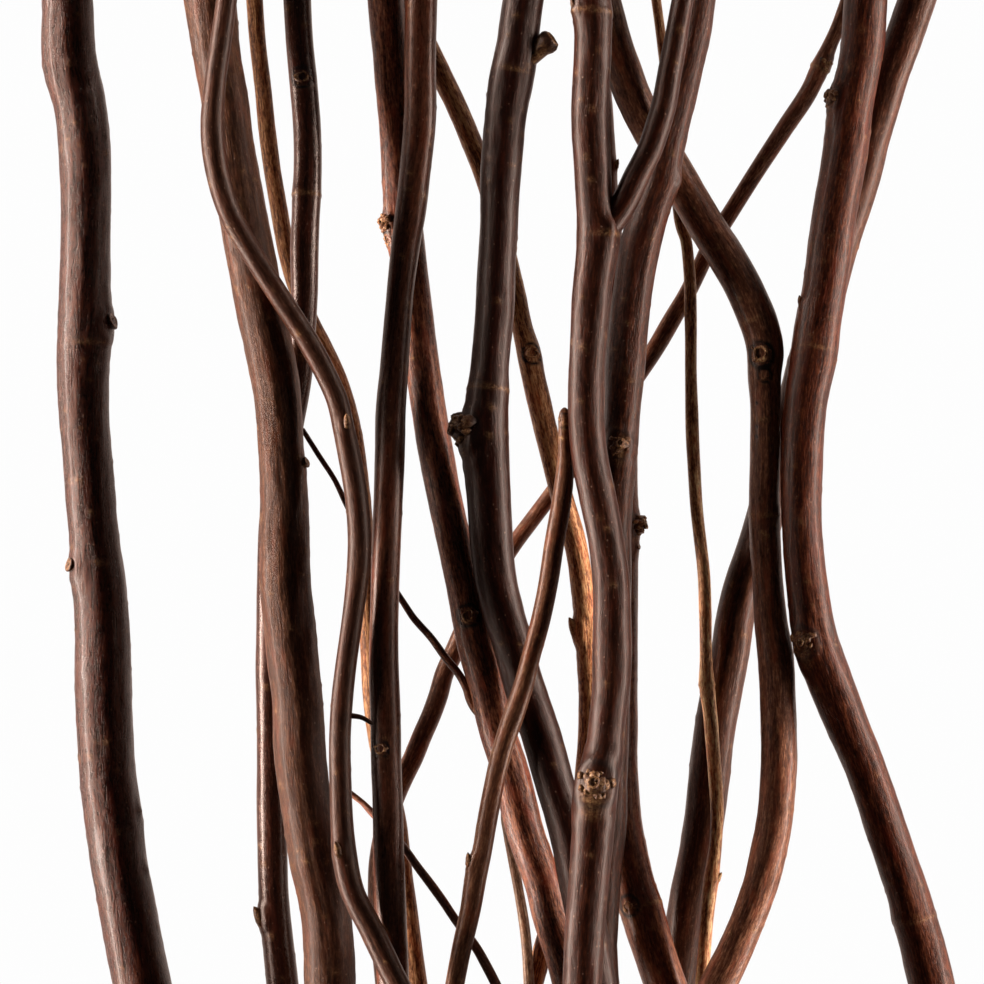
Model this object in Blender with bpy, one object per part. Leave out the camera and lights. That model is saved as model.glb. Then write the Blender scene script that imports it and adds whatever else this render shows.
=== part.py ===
"""A bunch of cut curly willow stems lying on a flat surface.

Metres, +Z up. The butts point to -Y, the thin tops to +Y. The origin is under the
middle of the bunch, on the surface it lies on.

Each stem is a round tube that follows its own curly route. The routes are given for
the middle stretch of the bunch, 196.8 mm square. Beyond it a seeded rule carries each
stem on, downwards to its cut butt and upwards to its thin top. The heights come from
laying the stems down one after another: each one rests on the surface or on the stems
laid before it.
"""
import math

import bmesh
import bpy
import numpy as np

NAME = "willow_stems"

# Driving dimensions, in millimetres.
STRETCH = 196.8          # side of the square stretch that the routes are given in
GAP = 0.34               # clearance where one stem rests on another
STEP = 2.0               # spacing of the samples along a stem
BUTT_LENGTH = 118.0      # length of a stem below the stretch, on average
TOP_LENGTH = 205.0       # length of a stem above the stretch, on average
TIP_DIAMETER = 1.5       # diameter at the very top of a stem
BEND_RADIUS = 240.0      # how tightly a resting stem may bend up or down
RING_ERROR = 0.2         # how far a tube may stray from its smooth route
RING_SPACING = 24.0      # largest distance between two rings of a tube
SEED = 41

# Routes in millimetres: across and down from the upper left corner of the stretch,
# then the diameter there.
ROUTES = {
    "stem_01": [
        (13.2, 0, 10.4), (13.8, 12.6, 11), (15.8, 21, 10.4), (16.6, 29.4, 10.4), (16.8, 42, 10),
        (16.6, 54.8, 10.2), (16.4, 66, 10.6), (16.2, 74.4, 10.4), (16.5, 82.8, 10), (17, 91.2, 10),
        (17.7, 99.6, 10), (18.5, 108, 10), (19.4, 116.4, 10.8), (20, 125, 11), (20.4, 139.2, 11.4),
        (20.7, 147.6, 11.4), (21.3, 156, 11.6), (22.4, 164.4, 11.6), (23.5, 172.8, 11.6),
        (25, 181.2, 11.8), (26.6, 189.8, 11.8), (28, 196.8, 11.8)],
    "stem_02": [
        (42, 0, 10.4), (43.8, 12.6, 9.6), (45.2, 21, 9.6), (46.3, 29.4, 9.6), (48.2, 40, 9.6),
        (49.7, 48.4, 9.8), (50.8, 54, 9.8), (51.7, 59, 9.8), (53, 65.6, 9.6), (54.9, 74.4, 9.6),
        (56, 82.8, 9.2), (56.4, 91.2, 9.1), (56.9, 99.6, 9.6), (57.1, 108, 10), (57.3, 116.4, 10.2),
        (58.1, 125, 10.4), (58.7, 131.6, 10.4), (59.6, 139.2, 10.1), (60, 147.6, 10.4),
        (60.7, 156, 10.2), (61.9, 164.4, 10), (63.2, 172.8, 10), (65, 181.2, 10),
        (65.7, 189.6, 10.2), (65.9, 196.8, 10.2)],
    "stem_03": [
        (59.4, 0, 5.6), (59.8, 8.4, 5.5), (60.6, 16.8, 5.6), (61.3, 25.2, 5.6), (61.5, 33.6, 5.6),
        (61.2, 42, 5.6), (60.9, 50.4, 5.7), (60.9, 59, 5.4), (60.4, 68, 5.4), (59.5, 77.2, 5.4),
        (58, 85, 5.6), (56.2, 94, 5.8), (54.9, 102.6, 5.8), (54.4, 116.4, 6), (54.1, 130.8, 6),
        (54.2, 147.6, 6), (54.2, 164.4, 6), (54.7, 181.2, 6.2), (56.2, 196.8, 6.5)],
    "stem_04": [
        (45.6, 0, 4.2), (44.5, 8.4, 4.2), (43.4, 16.8, 4.3), (42.8, 25.2, 4.8), (43.6, 33.6, 4.8),
        (45.9, 42, 4.6), (50.4, 50.4, 4.4), (55.8, 59, 4.4), (61.7, 68.2, 4.4), (65.1, 74.4, 4.4),
        (67.6, 80, 4.4), (69, 86, 4.4), (70.1, 91.2, 4.6), (71.5, 99.6, 4.6), (72.1, 108, 4.6),
        (71.6, 116.4, 4.4), (70.5, 125, 4.2), (69.6, 131.6, 4.2), (68.7, 139.2, 4.4),
        (68.3, 147.6, 4.4), (68.4, 156, 4.4), (68.7, 164.4, 4.6), (69.2, 170.4, 5), (70.6, 177, 4.8),
        (74.8, 185.6, 4.8), (78.8, 194, 4.8), (80.2, 196.8, 4.8)],
    "stem_05": [
        (50.7, 0, 3.4), (51.3, 8.4, 3.3), (52.3, 16.8, 3.4), (53.1, 25.2, 3.5), (54.2, 33.6, 3.5),
        (55.6, 42, 3.6), (57.2, 50.4, 3.6), (59.4, 58, 3.6), (61.8, 64, 3.6), (64.4, 69, 3.6),
        (67.2, 75, 3.6), (69.2, 81, 3.6), (70.4, 86, 3.6), (71.6, 94, 3.6), (72.4, 102, 3.6),
        (72.9, 112, 3.6), (73.4, 122, 3.6), (73.9, 130.8, 3.7), (74.4, 140, 3.8), (75.6, 149, 3.8),
        (77.6, 157, 3.8), (79.2, 164, 3.8), (80, 170, 3.8), (80.8, 177, 3.9), (81.8, 184, 3.9),
        (82.5, 190, 4), (83.4, 196.8, 4)],
    "stem_06": [
        (77.2, 0, 7.2), (77.8, 7.6, 7.2), (78.5, 16, 7.2), (79.2, 23.6, 7.2), (79.7, 31.6, 7.2),
        (80.3, 40, 7.2), (81.4, 50, 7.2), (82.2, 56, 7), (83.4, 66.2, 7), (84.8, 76.4, 7),
        (86.4, 86.6, 7), (88.2, 96, 7), (89.7, 103.2, 7), (91.9, 113.6, 7), (94, 123.6, 7.2),
        (94.8, 128, 7.2), (97, 136, 7.2), (99.4, 145.8, 7.2), (102, 153.6, 7.2), (103.8, 161.2, 7.4),
        (106, 169, 7.4), (107.5, 173.2, 7.4), (108.8, 177.2, 7.4), (110, 182.4, 7.4),
        (111.6, 187.4, 7.4), (113.2, 192.6, 7.4), (114.2, 196.8, 7.4)],
    "stem_07": [
        (84.2, 0, 6.5), (84, 12.6, 6.4), (83.9, 25.2, 6.5), (83.1, 33.6, 6.3), (82.2, 42, 6.2),
        (81, 50.4, 5.7), (80, 59, 5.4), (79.4, 66, 5.6), (78.8, 74.4, 5.8), (78.2, 82.8, 6),
        (78, 91.2, 5.9), (77.7, 99.6, 5.8), (77.4, 108, 5.8), (77.2, 116.4, 5.8), (77, 125, 5.8),
        (76.9, 130.8, 5.9), (77.3, 143.4, 6), (77.4, 151.8, 6), (77.7, 160.2, 6.1), (77.9, 168.6, 6.1),
        (78.1, 177, 6.2), (78.3, 185.6, 6.3), (78.7, 194, 6.3), (78.8, 196.8, 6.3)],
    "stem_08": [
        (104.7, 0, 8), (104, 4.2, 8.2), (103.4, 9.2, 8.6), (102.4, 14.8, 8.8), (101.4, 21, 8.4),
        (100.6, 29.4, 8.2), (100, 37.8, 8), (99.7, 46.2, 7.8), (99.2, 54.8, 7.8), (98.8, 63.2, 7.8),
        (97.9, 74.4, 7.8), (97.4, 82.8, 8.4), (97.4, 91.2, 8.8), (97.8, 99.6, 8.6), (98.2, 108, 8.6),
        (99.3, 116.4, 8.4), (100.6, 122.4, 8.4), (102.3, 128, 8.2), (104.8, 137, 8.2),
        (107.8, 145.8, 8), (110.1, 153.6, 8), (112.4, 161.2, 8), (114.4, 169, 8), (116, 177, 8),
        (117.6, 186, 8), (119.2, 196.8, 8)],
    "stem_09": [
        (118.3, 0, 7.8), (118.6, 8.4, 7.6), (118.2, 16.8, 7.6), (117.9, 25.2, 7.6), (118.3, 33.6, 7.4),
        (118.8, 42, 7.6), (119.4, 46.2, 8.8), (119.2, 51.2, 8.6), (118.5, 56.4, 8), (118.1, 61.4, 7.7),
        (117.7, 66.6, 7.4), (117.3, 73, 7.3), (117.1, 82.8, 7.2), (117.8, 91.2, 7.4), (119.4, 99.6, 7.4),
        (121, 108, 7.2), (122, 116.4, 7.4), (122.2, 125, 7.6), (122.2, 130.8, 7.8), (122, 137.2, 7.4),
        (121.3, 143.4, 7.2), (120.6, 149.8, 7.3), (119.2, 156, 8), (118.7, 160.2, 8.2),
        (118.4, 164.4, 8.2), (117.7, 172.8, 8.1), (117, 181.2, 8), (116.5, 189.8, 7.9),
        (116.2, 196.8, 7.8)],
    "stem_10": [
        (81.6, 0, 4.2), (84.6, 7, 4.2), (87.9, 13.9, 4.2), (91.3, 21, 4.2), (94.2, 27.8, 4.2),
        (96.6, 34, 4.2), (99.4, 43, 4.2), (101.6, 52, 4.2), (103.2, 59, 4.2), (104.6, 66, 4.2),
        (105.7, 70.2, 4.8), (106.5, 74.4, 4.8), (108.4, 82.8, 4.8), (110.4, 91.2, 4.6),
        (112.4, 99.6, 4.4), (114.9, 108, 4.4), (115.7, 112.2, 4.4), (116.7, 120, 4.6), (117.4, 126, 4.6),
        (117.6, 130.8, 4.6), (118, 139.2, 4.6), (117.8, 147.6, 4.6), (117.3, 154, 4.6), (116, 163, 4.4),
        (113.8, 172, 4.2), (111.2, 181, 4), (109, 188, 3.8), (106.8, 196.8, 3.6)],
    "stem_11": [
        (112.8, 82.8, 1.8), (112.8, 87, 2.4), (112.9, 91.2, 2.8), (112.8, 95.4, 3.6), (112.3, 99.6, 3.8),
        (110.9, 108, 4), (109.6, 116.4, 4), (107.8, 125, 3.9), (106.2, 130.8, 3.8), (104.5, 137.2, 4),
        (102.4, 143.4, 4.3), (101, 147.6, 4.1), (99.8, 151.8, 4), (98.9, 156, 4), (97.3, 164.4, 4),
        (96.2, 170.8, 4), (95.3, 174.2, 4.4), (94.1, 181.2, 4.2), (92.2, 189.8, 3.9),
        (90.9, 196.8, 3.9)],
    "stem_12": [
        (139.7, 0, 6.8), (139, 5, 7), (137.8, 10.4, 7.1), (136.7, 15.2, 7.2), (135.4, 20.4, 7.3),
        (134, 25.6, 7.4), (132.9, 30.6, 7.5), (132.1, 35.8, 7.6), (130.3, 41, 7.7), (128.1, 48.8, 8),
        (127.2, 53.8, 7.9), (126.5, 59, 7.8), (125.9, 64, 7.9), (125.4, 69.2, 8), (125, 74.2, 8),
        (124.5, 82.8, 7.2), (123.9, 91.2, 7.2), (123.1, 99.6, 7.2), (122.7, 108, 7.2),
        (122.7, 116.4, 7.2), (122.8, 125, 7.2), (122.6, 130.8, 7.4), (122.2, 143.4, 7.6),
        (121.8, 156, 7.6), (121.6, 164.4, 7.6), (120.7, 172.8, 7.6), (120.1, 181.2, 7.6),
        (119.6, 189.8, 7.6), (120, 196.8, 7.6)],
    "stem_13": [
        (118.4, 0, 5.6), (119.2, 12, 5.8), (119.6, 19, 6), (120.2, 28, 6), (120.8, 37.8, 6),
        (121.8, 50, 6.2), (122.8, 66, 6.6), (123.8, 84, 7.2), (124, 100, 7.4), (124, 112, 7.4),
        (123.9, 124, 7.6), (124, 140, 7.6), (124, 145.4, 7.6), (123.7, 151.6, 7.8), (124, 158.2, 7.8),
        (124.4, 163.6, 8), (125.4, 170, 8.2), (126.7, 176.2, 8.4), (128.5, 182.4, 8.6),
        (129.3, 185.2, 8.6), (131.6, 192.6, 8.6), (133, 196.8, 8.6)],
    "stem_14": [
        (120.9, 0, 7), (123.6, 10.2, 7.2), (126.5, 18.4, 7.4), (130, 25.6, 7.4), (134.4, 33, 7.6),
        (139, 41, 7.6), (142.1, 46.2, 7.6), (145.3, 51.2, 7.6), (148.3, 56.4, 7.6), (150.4, 61, 7.6),
        (152.3, 66, 7.6), (153.1, 70.2, 7.4), (153, 74.4, 6.8), (153.2, 80, 6.2), (153.2, 91.2, 6.1),
        (153, 99.6, 6), (153.2, 108, 6.2), (153.7, 116.4, 6.2), (154.3, 125, 6.6), (155.1, 130.8, 7.2),
        (155.6, 139.2, 7.4), (155.8, 147.6, 7.5), (155.6, 156, 7.5), (154.8, 164.4, 7.3),
        (153, 172.8, 7.2), (150.4, 181.2, 7), (146.8, 189.8, 7.2), (143.4, 196.8, 7.6)],
    "stem_15": [
        (183.7, 0, 7.6), (181, 7.6, 7.6), (178.6, 13.8, 7.6), (176.5, 20.6, 7.6), (174.5, 27.4, 7.6),
        (172.6, 35, 7.6), (170.6, 41.2, 7.6), (168.6, 47.2, 7.6), (167.2, 52.2, 7.6), (165, 61, 7.6),
        (162.4, 70, 7.6), (159.6, 80, 7.6), (156.8, 90, 7.6), (154.2, 100, 7.6), (151.2, 110.2, 7.8),
        (149.2, 116.4, 7.8), (147.5, 122.8, 7.9), (146.2, 130.8, 8), (144.4, 139.2, 8.2),
        (142.9, 147.6, 8.2), (142, 156, 8.4), (141, 164.4, 8.2), (139.5, 173.6, 8.2), (138, 181, 8.2),
        (137, 187, 8.2), (135.6, 196.8, 8.2)],
    "stem_16": [
        (131.5, 0, 2), (132.2, 5, 2), (133, 11, 2.1), (133.8, 18, 2.1), (134.6, 26, 2.1),
        (135.2, 34, 2.2), (135.8, 41, 2.2), (136.4, 45, 2.2), (137.3, 47.4, 2.3), (137.8, 51.2, 2.3),
        (138.2, 56.4, 2.4), (138.3, 61.4, 2.5), (138.4, 66.6, 2.4), (138.4, 74.4, 2.4), (138.6, 85, 2.7),
        (139, 93.4, 2.6), (139.5, 101.8, 2.5), (140.2, 108, 2.5), (140.9, 114.4, 2.5),
        (141.2, 122.8, 2.5), (141.3, 130.8, 2.4), (141.5, 137.2, 2.9), (142.2, 143.4, 2.8),
        (142.7, 149.8, 2.8), (143.2, 156, 2.8), (143.5, 162.4, 2.6), (143.2, 168.6, 2.5),
        (142.2, 176.2, 3), (141.4, 183.4, 2.7), (140.9, 189.8, 2.6), (140.3, 196.8, 2.6)],
    "stem_17": [
        (173.3, 0, 8.8), (172.7, 8.4, 8.7), (171.5, 16, 8.6), (170.6, 21, 8.8), (169.6, 27.4, 9.2),
        (168.6, 33.6, 9), (167.1, 42, 8.9), (166, 50.4, 9), (164.7, 59, 8.9), (163.5, 66, 9.2),
        (163, 70.2, 9.4), (162.3, 74.4, 9.2), (161.5, 78.6, 8.8), (160.8, 85, 8.5), (160.4, 93.4, 8.2),
        (160.3, 101.8, 8.1), (160.7, 110.2, 8.1), (161.6, 118.6, 8.3), (162.6, 125, 8.6),
        (164, 131, 9.2), (165.2, 134.2, 9), (167.6, 140.4, 8.8), (170.2, 146.8, 8.4),
        (172.6, 152.6, 8.2), (175.1, 159.4, 8.2), (177.7, 167, 8.3), (179.7, 172.8, 8.2),
        (182, 179.6, 8.4), (183.1, 183.8, 8.6), (184.6, 188.8, 9), (186.6, 196.8, 9.2)],
    "stem_18": [
        (169.8, 0, 3), (168, 5, 3), (166.4, 8.4, 2.9), (164.5, 12.6, 3.4), (162.7, 16.8, 3.6),
        (157.3, 25.2, 3.6), (151.8, 33.6, 3.4), (146.5, 42, 3.4), (142.8, 48, 3.4), (140, 53.8, 3.4),
        (137.4, 59, 3.4), (134.5, 64, 3.6), (131.5, 69.2, 3.6), (128.3, 74.2, 3.4), (122, 83, 3.4),
        (115.6, 91.8, 3.4), (109.4, 100.1, 3.3), (106.4, 104.1, 3.3), (102.8, 109, 3.3),
        (98.4, 116, 3.4), (93.6, 124, 3.6), (90.6, 131, 3.8), (88.8, 135, 3.8), (87.6, 139.2, 4),
        (86.1, 143.4, 4), (84.3, 147.6, 4), (82.6, 151.8, 4), (80.5, 156, 4), (78.4, 161, 4),
        (76.6, 167, 4), (75.6, 173, 4), (75.4, 179, 4), (75.8, 186, 4.2), (76.4, 192, 4.2),
        (77, 196.8, 4.4)],
    "twig_19": [
        (68, 156.6, 1.2), (70.4, 158.4, 1.2), (72.7, 160.2, 1.2), (74.4, 162, 1.5), (77.6, 165.2, 1.6),
        (80.9, 169, 1.6), (83.6, 172.8, 1.7), (86.2, 176.2, 1.8), (88.8, 179.8, 1.8), (91.2, 183.4, 1.8),
        (93.2, 186, 1.9), (95, 188.4, 1.9), (97.4, 192.6, 2), (99.6, 196.8, 2)],
    "twig_20": [
        (101.2, 160, 1.6), (101, 163, 1.8), (101.6, 167, 1.8), (102.6, 172, 2), (103.8, 178.4, 2),
        (104.8, 184.4, 2.1), (105.4, 190, 2.1), (105.8, 196.8, 2.2)],
}

# The order in which the stems are laid down, lowest first.
LAID = ["stem_15", "stem_18", "stem_13", "stem_16", "stem_14", "stem_12", "stem_10", "twig_20",
        "stem_05", "stem_06", "stem_08", "stem_03", "stem_02", "twig_19", "stem_07", "stem_11",
        "stem_09", "stem_17", "stem_04", "stem_01"]

# Stems that end in the stretch, with their own thin tip there.
TIPPED = {"stem_11", "twig_19", "twig_20"}

# Side branches inside the stretch, from the base outwards. They grow from the named stem.
BRANCHES = {
    "stem_09": [[
        (119.4, 47.6, 5.2), (121.6, 45.2, 5.2), (123, 43.6, 5), (124.6, 41, 5), (127.1, 35.8, 5),
        (129.7, 30.6, 4.9), (131.4, 25.6, 4.9), (132.8, 20.4, 4.8), (133.7, 15.2, 4.7),
        (134.6, 10.2, 4.6), (135.5, 5, 4.4), (136.4, 0, 4.3)]],
    "stem_06": [[
        (97.8, 144, 1.9), (96, 142.6, 1.8), (94.4, 140.6, 1.7), (93.2, 137.2, 1.6), (91.4, 134.2, 1.5),
        (89.4, 131.8, 1.5), (86.2, 127.4, 1.4), (82.8, 123.6, 1.4), (80.4, 120, 1.3), (78, 116.4, 1.3),
        (75, 111.6, 1.2), (72, 106, 1.2), (69.2, 100.6, 1.2), (67, 96, 1.1), (64, 91.4, 1.1),
        (60.6, 86, 1)]],
    "stem_04": [[(68.8, 142.8, 1.1), (72.3, 143, 0.9), (74.4, 144.2, 0.8)]],
}

# The branch that goes on past the upper edge of the stretch.
LONG_BRANCH = ("stem_09", 0)

# Knots, buds and stubs: across, down, radius, and how far the centre lies above the stem's own.
KNOTS = {
    "stem_01": [(22.1, 64.6, 1.3, 0.0), (28.3, 162.2, 1.5, 0.0), (29.4, 174, 1.5, 0.0)],
    "stem_02": [(61.4, 93, 1.3, 0.8)],
    "stem_03": [(51.2, 183.2, 1.5, 0.0)],
    "stem_04": [(70.3, 85.2, 1.2, 0.6), (67.0, 170.4, 1.4, 0.6)],
    "stem_06": [(76.6, 45.8, 1.7, 0.6), (93.4, 123.4, 3.9, 0.0)],
    "stem_08": [(93.2, 86.4, 3.1, 0.6), (106.6, 11.4, 2.1, 0.6), (109.4, 8.8, 1.9, 0.9)],
    "stem_09": [(119.6, 47.2, 4.8, 0.0), (118.7, 156.8, 3.9, 1.3)],
    "stem_10": [(106.3, 71.2, 2.6, 0.0), (115.0, 125.6, 1.3, 0.4)],
    "stem_11": [(93.9, 171.8, 1.4, 0.3)],
    "stem_12": [(124.2, 88.6, 3.8, 0.0)],
    "stem_13": [(127.4, 105.2, 1.9, 0.0)],
    "stem_14": [(152.4, 71.6, 3.9, 0.2)],
    "stem_16": [(141.4, 137.2, 1.7, 0.0), (144.2, 175.4, 0.9, 0.0)],
    "stem_17": [(165.8, 19.6, 2.1, 0.6), (160.8, 128.6, 3.0, 0.6)],
}

# Side twigs above the stretch: how far up it they leave, and to which side.
TOP_TWIGS = {
    "stem_01": (46, 1), "stem_02": (62, -1), "stem_06": (52, -1), "stem_07": (70, 1),
    "stem_08": (44, 1), "stem_12": (64, -1), "stem_14": (50, 1), "stem_15": (40, 1),
    "stem_17": (74, -1),
}

# Bark colours, as red, green and blue between 0 and 1.
RED_BROWN = (0.11, 0.045, 0.028)
DARK = (0.05, 0.024, 0.018)
GREY_BROWN = (0.15, 0.09, 0.065)
TAN = (0.30, 0.15, 0.065)
COLOURS = {
    "stem_01": RED_BROWN, "stem_02": GREY_BROWN, "stem_03": DARK, "stem_04": GREY_BROWN,
    "stem_05": TAN, "stem_06": RED_BROWN, "stem_07": DARK, "stem_08": DARK, "stem_09": DARK,
    "stem_10": TAN, "stem_11": RED_BROWN, "stem_12": DARK, "stem_13": RED_BROWN,
    "stem_14": GREY_BROWN, "stem_15": DARK, "stem_16": TAN, "stem_17": RED_BROWN,
    "stem_18": GREY_BROWN, "twig_19": DARK, "twig_20": TAN,
}


def plan(points):
    """Route points as x, y and radius about the middle of the stretch."""
    p = np.array(points, dtype=float)
    return np.column_stack([p[:, 0] - STRETCH / 2, STRETCH / 2 - p[:, 1], p[:, 2] / 2])


def smooth_route(p, step=STEP):
    """A smooth line through the points, with a sample about every step."""
    d = np.hypot(*(p[1:, :2] - p[:-1, :2]).T)
    t = np.concatenate([[0.0], np.cumsum(d)])
    m = np.gradient(p, t, axis=0)
    s = np.linspace(0.0, t[-1], max(int(round(t[-1] / step)), 2) + 1)
    i = np.clip(np.searchsorted(t, s, side="right") - 1, 0, len(d) - 1)
    h = d[i][:, None]
    u = ((s - t[i]) / d[i])[:, None]
    return ((2 * u**3 - 3 * u**2 + 1) * p[i] + (u**3 - 2 * u**2 + u) * h * m[i]
            + (3 * u**2 - 2 * u**3) * p[i + 1] + (u**3 - u**2) * h * m[i + 1])


def carry_on(p, heading, length, end_radius, aim, curl, wave, phase, power):
    """Samples that carry a stem on from point p, curling about the mean heading aim."""
    count = max(int(round(length / STEP)), 2)
    out = []
    x, y, r0 = p
    for k in range(1, count + 1):
        s = k * STEP
        blend = 1 - math.exp(-s / 55.0)
        h = heading * (1 - blend) + blend * (aim + curl * math.sin(2 * math.pi * s / wave + phase))
        x += STEP * math.sin(h)
        y += STEP * math.cos(h)
        f = (k / count) ** power
        out.append((x, y, r0 + (end_radius - r0) * f))
    return np.array(out)


def heading_of(a, b):
    """Angle of the step from a to b, measured from +Y towards +X."""
    return math.atan2(b[0] - a[0], b[1] - a[1])


def draw_stem(name, rng):
    """Plan route of a whole stem, from its top to its butt, and where the stretch begins."""
    p = smooth_route(plan(ROUTES[name]))
    r_top, r_low = p[0, 2], p[-1, 2]
    x_top, x_low = p[0, 0], p[-1, 0]
    thick = r_low > 2.6
    # Down to the butt, measured with y turned round so that the heading stays small.
    flip = np.array([1.0, -1.0, 1.0])
    a, b = p[-3] * flip, p[-1] * flip
    length = BUTT_LENGTH + rng.uniform(-26, 20)
    aim = -math.atan2(x_low * (0.3 if thick else 0.1) + rng.uniform(-11, 11), length)
    low = carry_on(b, heading_of(a, b), length, r_low * 1.09, aim, rng.uniform(0.06, 0.2),
                   rng.uniform(150, 230), rng.uniform(0, 6.28), 1.0) * flip
    if name in TIPPED:
        return np.vstack([p, low]), 0
    a, b = p[2], p[0]
    length = TOP_LENGTH + rng.uniform(-45, 30) - (0 if thick else 40)
    aim = math.atan2(-x_top * 0.22 + rng.uniform(-22, 22), length)
    top = carry_on(b, heading_of(a, b), length, TIP_DIAMETER / 2, aim, rng.uniform(0.22, 0.42),
                   rng.uniform(105, 165), rng.uniform(0, 6.28), 1.25)
    return np.vstack([top[::-1], p, low]), len(top)


def draw_twig(stem, start, up, side, rng):
    """A side twig that leaves a stem above the stretch."""
    k = start - int(up / STEP)
    h = heading_of(stem[k + 2], stem[k])
    r = stem[k, 2] * 0.56
    first = np.array([[stem[k, 0], stem[k, 1], r]])
    run = carry_on((stem[k, 0], stem[k, 1], r), h + side * 0.75, rng.uniform(70, 95), 0.65,
                   side * rng.uniform(0.1, 0.3), rng.uniform(0.3, 0.45), rng.uniform(70, 100),
                   0.0 if side > 0 else math.pi, 1.0)
    return np.vstack([first, run]), k


def draped(need, step=STEP):
    """The lowest run at or above the needed heights whose bends keep to the bend radius."""
    s = np.arange(len(need)) * step
    bow = (s[:, None] - s[None, :]) ** 2 / (2 * BEND_RADIUS)
    over = (need[None, :] - bow).max(axis=1)
    wide = (over[None, :] - bow).max(axis=1)
    return (wide[None, :] + bow).min(axis=1)


def height_over(xyr, bodies):
    """Lowest centre heights for discs xyr that clear the bodies laid before."""
    need = xyr[:, 2].copy()
    for b in bodies:
        reach = xyr[:, 2][:, None] + b[:, 3][None, :] + GAP
        d2 = ((xyr[:, 0][:, None] - b[:, 0][None, :]) ** 2
              + (xyr[:, 1][:, None] - b[:, 1][None, :]) ** 2)
        lift = np.where(d2 < reach**2, b[:, 2][None, :] + np.sqrt(np.maximum(reach**2 - d2, 0)), -1e9)
        need = np.maximum(need, lift.max(axis=1))
    return need


def nearest(line, x, y):
    return int(np.argmin((line[:, 0] - x) ** 2 + (line[:, 1] - y) ** 2))


def lay_all():
    """Every stem with its branches and knots at their places, in millimetres."""
    rng = np.random.default_rng(SEED)
    drawn = {}
    for name in ROUTES:
        stem, start = draw_stem(name, rng)
        side = []
        for n, points in enumerate(BRANCHES.get(name, [])):
            b = smooth_route(plan(points))
            if (name, n) == LONG_BRANCH:
                on = carry_on(b[-1], heading_of(b[-3], b[-1]), 120, 0.75, 0.12, 0.35, 120, 2.4, 1.1)
                b = np.vstack([b, on])
            side.append((b, nearest(stem, b[0, 0], b[0, 1])))
        if name in TOP_TWIGS:
            up, turn = TOP_TWIGS[name]
            side.append(draw_twig(stem, start, up, turn, rng))
        drawn[name] = (stem, side, rng.uniform(0, 6.28), rng.uniform(165, 240))
    bodies, laid = [], {}
    for name in LAID:
        stem, side, phase, wave = drawn[name]
        s = np.arange(len(stem)) * STEP
        ripple = 1.4 * (1 - np.cos(2 * np.pi * s / wave + phase))
        need = np.maximum(height_over(stem, bodies), stem[:, 2] + ripple)
        knots = [(across - STRETCH / 2, STRETCH / 2 - down, r, up)
                 for across, down, r, up in KNOTS.get(name, [])]
        for x, y, r, up in knots:
            k = nearest(stem, x, y)
            need[k] = max(need[k], height_over(np.array([[x, y, r]]), bodies)[0] - up)
        branch_needs = [height_over(b, bodies) for b, _ in side]
        for _ in range(4):
            z = draped(need)
            branch_z = []
            for (b, k), low in zip(side, branch_needs):
                low = low.copy()
                low[0] = max(low[0], z[k])
                bz = draped(low)
                need[k] = max(need[k], bz[0])
                branch_z.append(bz)
        runs = [np.column_stack([stem[:, 0], stem[:, 1], z, stem[:, 2]])]
        for (b, k), bz in zip(side, branch_z):
            runs.append(np.column_stack([b[:, 0], b[:, 1], bz, b[:, 2]]))
        balls = [(x, y, z[nearest(stem, x, y)] + up, r) for x, y, r, up in knots]
        bodies.extend(runs)
        if balls:
            bodies.append(np.array(balls))
        laid[name] = (runs, balls)
    return laid


def rings_of(run):
    """The few samples of a run that keep the tube within the allowed error."""
    keep = [0]
    i = 0
    last = len(run) - 1
    while i < last:
        j = i + 1
        while j < last:
            n = j + 1
            if (n - i) * STEP > RING_SPACING:
                break
            u = (np.arange(i, n + 1) - i)[:, None] / (n - i)
            chord = run[i] * (1 - u) + run[n] * u
            off = np.sqrt(((run[i:n + 1, :3] - chord[:, :3]) ** 2).sum(axis=1)).max()
            if off > RING_ERROR or np.abs(run[i:n + 1, 3] - chord[:, 3]).max() > 0.3:
                break
            j = n
        keep.append(j)
        i = j
    if len(keep) > 2 and (keep[-1] - keep[-2]) * STEP < 5:
        keep.pop(-2)
    return run[keep]


def tube(name, run):
    """A closed mesh object made from a bevelled curve with filled caps."""
    points = rings_of(run)
    curve = bpy.data.curves.new(name, "CURVE")
    curve.dimensions = "3D"
    curve.twist_mode = "Z_UP"
    curve.bevel_depth = 0.001
    curve.bevel_resolution = 2 if run[:, 3].max() > 1.6 else 1
    curve.use_fill_caps = True
    line = curve.splines.new("POLY")
    line.points.add(len(points) - 1)
    for point, (x, y, z, r) in zip(line.points, points):
        point.co = (x / 1000, y / 1000, z / 1000, 1)
        point.radius = r
    guide = bpy.data.objects.new(name + "_guide", curve)
    bpy.context.scene.collection.objects.link(guide)
    bpy.context.view_layer.update()
    ready = guide.evaluated_get(bpy.context.evaluated_depsgraph_get())
    mesh = bpy.data.meshes.new_from_object(ready)
    bm = bmesh.new()
    bm.from_mesh(mesh)
    bmesh.ops.remove_doubles(bm, verts=bm.verts, dist=0.00001)
    bmesh.ops.recalc_face_normals(bm, faces=bm.faces)
    bm.to_mesh(mesh)
    bm.free()
    obj = bpy.data.objects.new(name, mesh)
    obj.matrix_world = guide.matrix_world.copy()
    bpy.data.objects.remove(guide)
    return obj


def knot(name, ball):
    """A small faceted ball sunk into its stem."""
    x, y, z, r = ball
    mesh = bpy.data.meshes.new(name)
    bm = bmesh.new()
    bmesh.ops.create_icosphere(bm, subdivisions=2 if r > 2.4 else 1, radius=r / 1000)
    bm.to_mesh(mesh)
    bm.free()
    obj = bpy.data.objects.new(name, mesh)
    obj.location = (x / 1000, y / 1000, z / 1000)
    return obj


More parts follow.
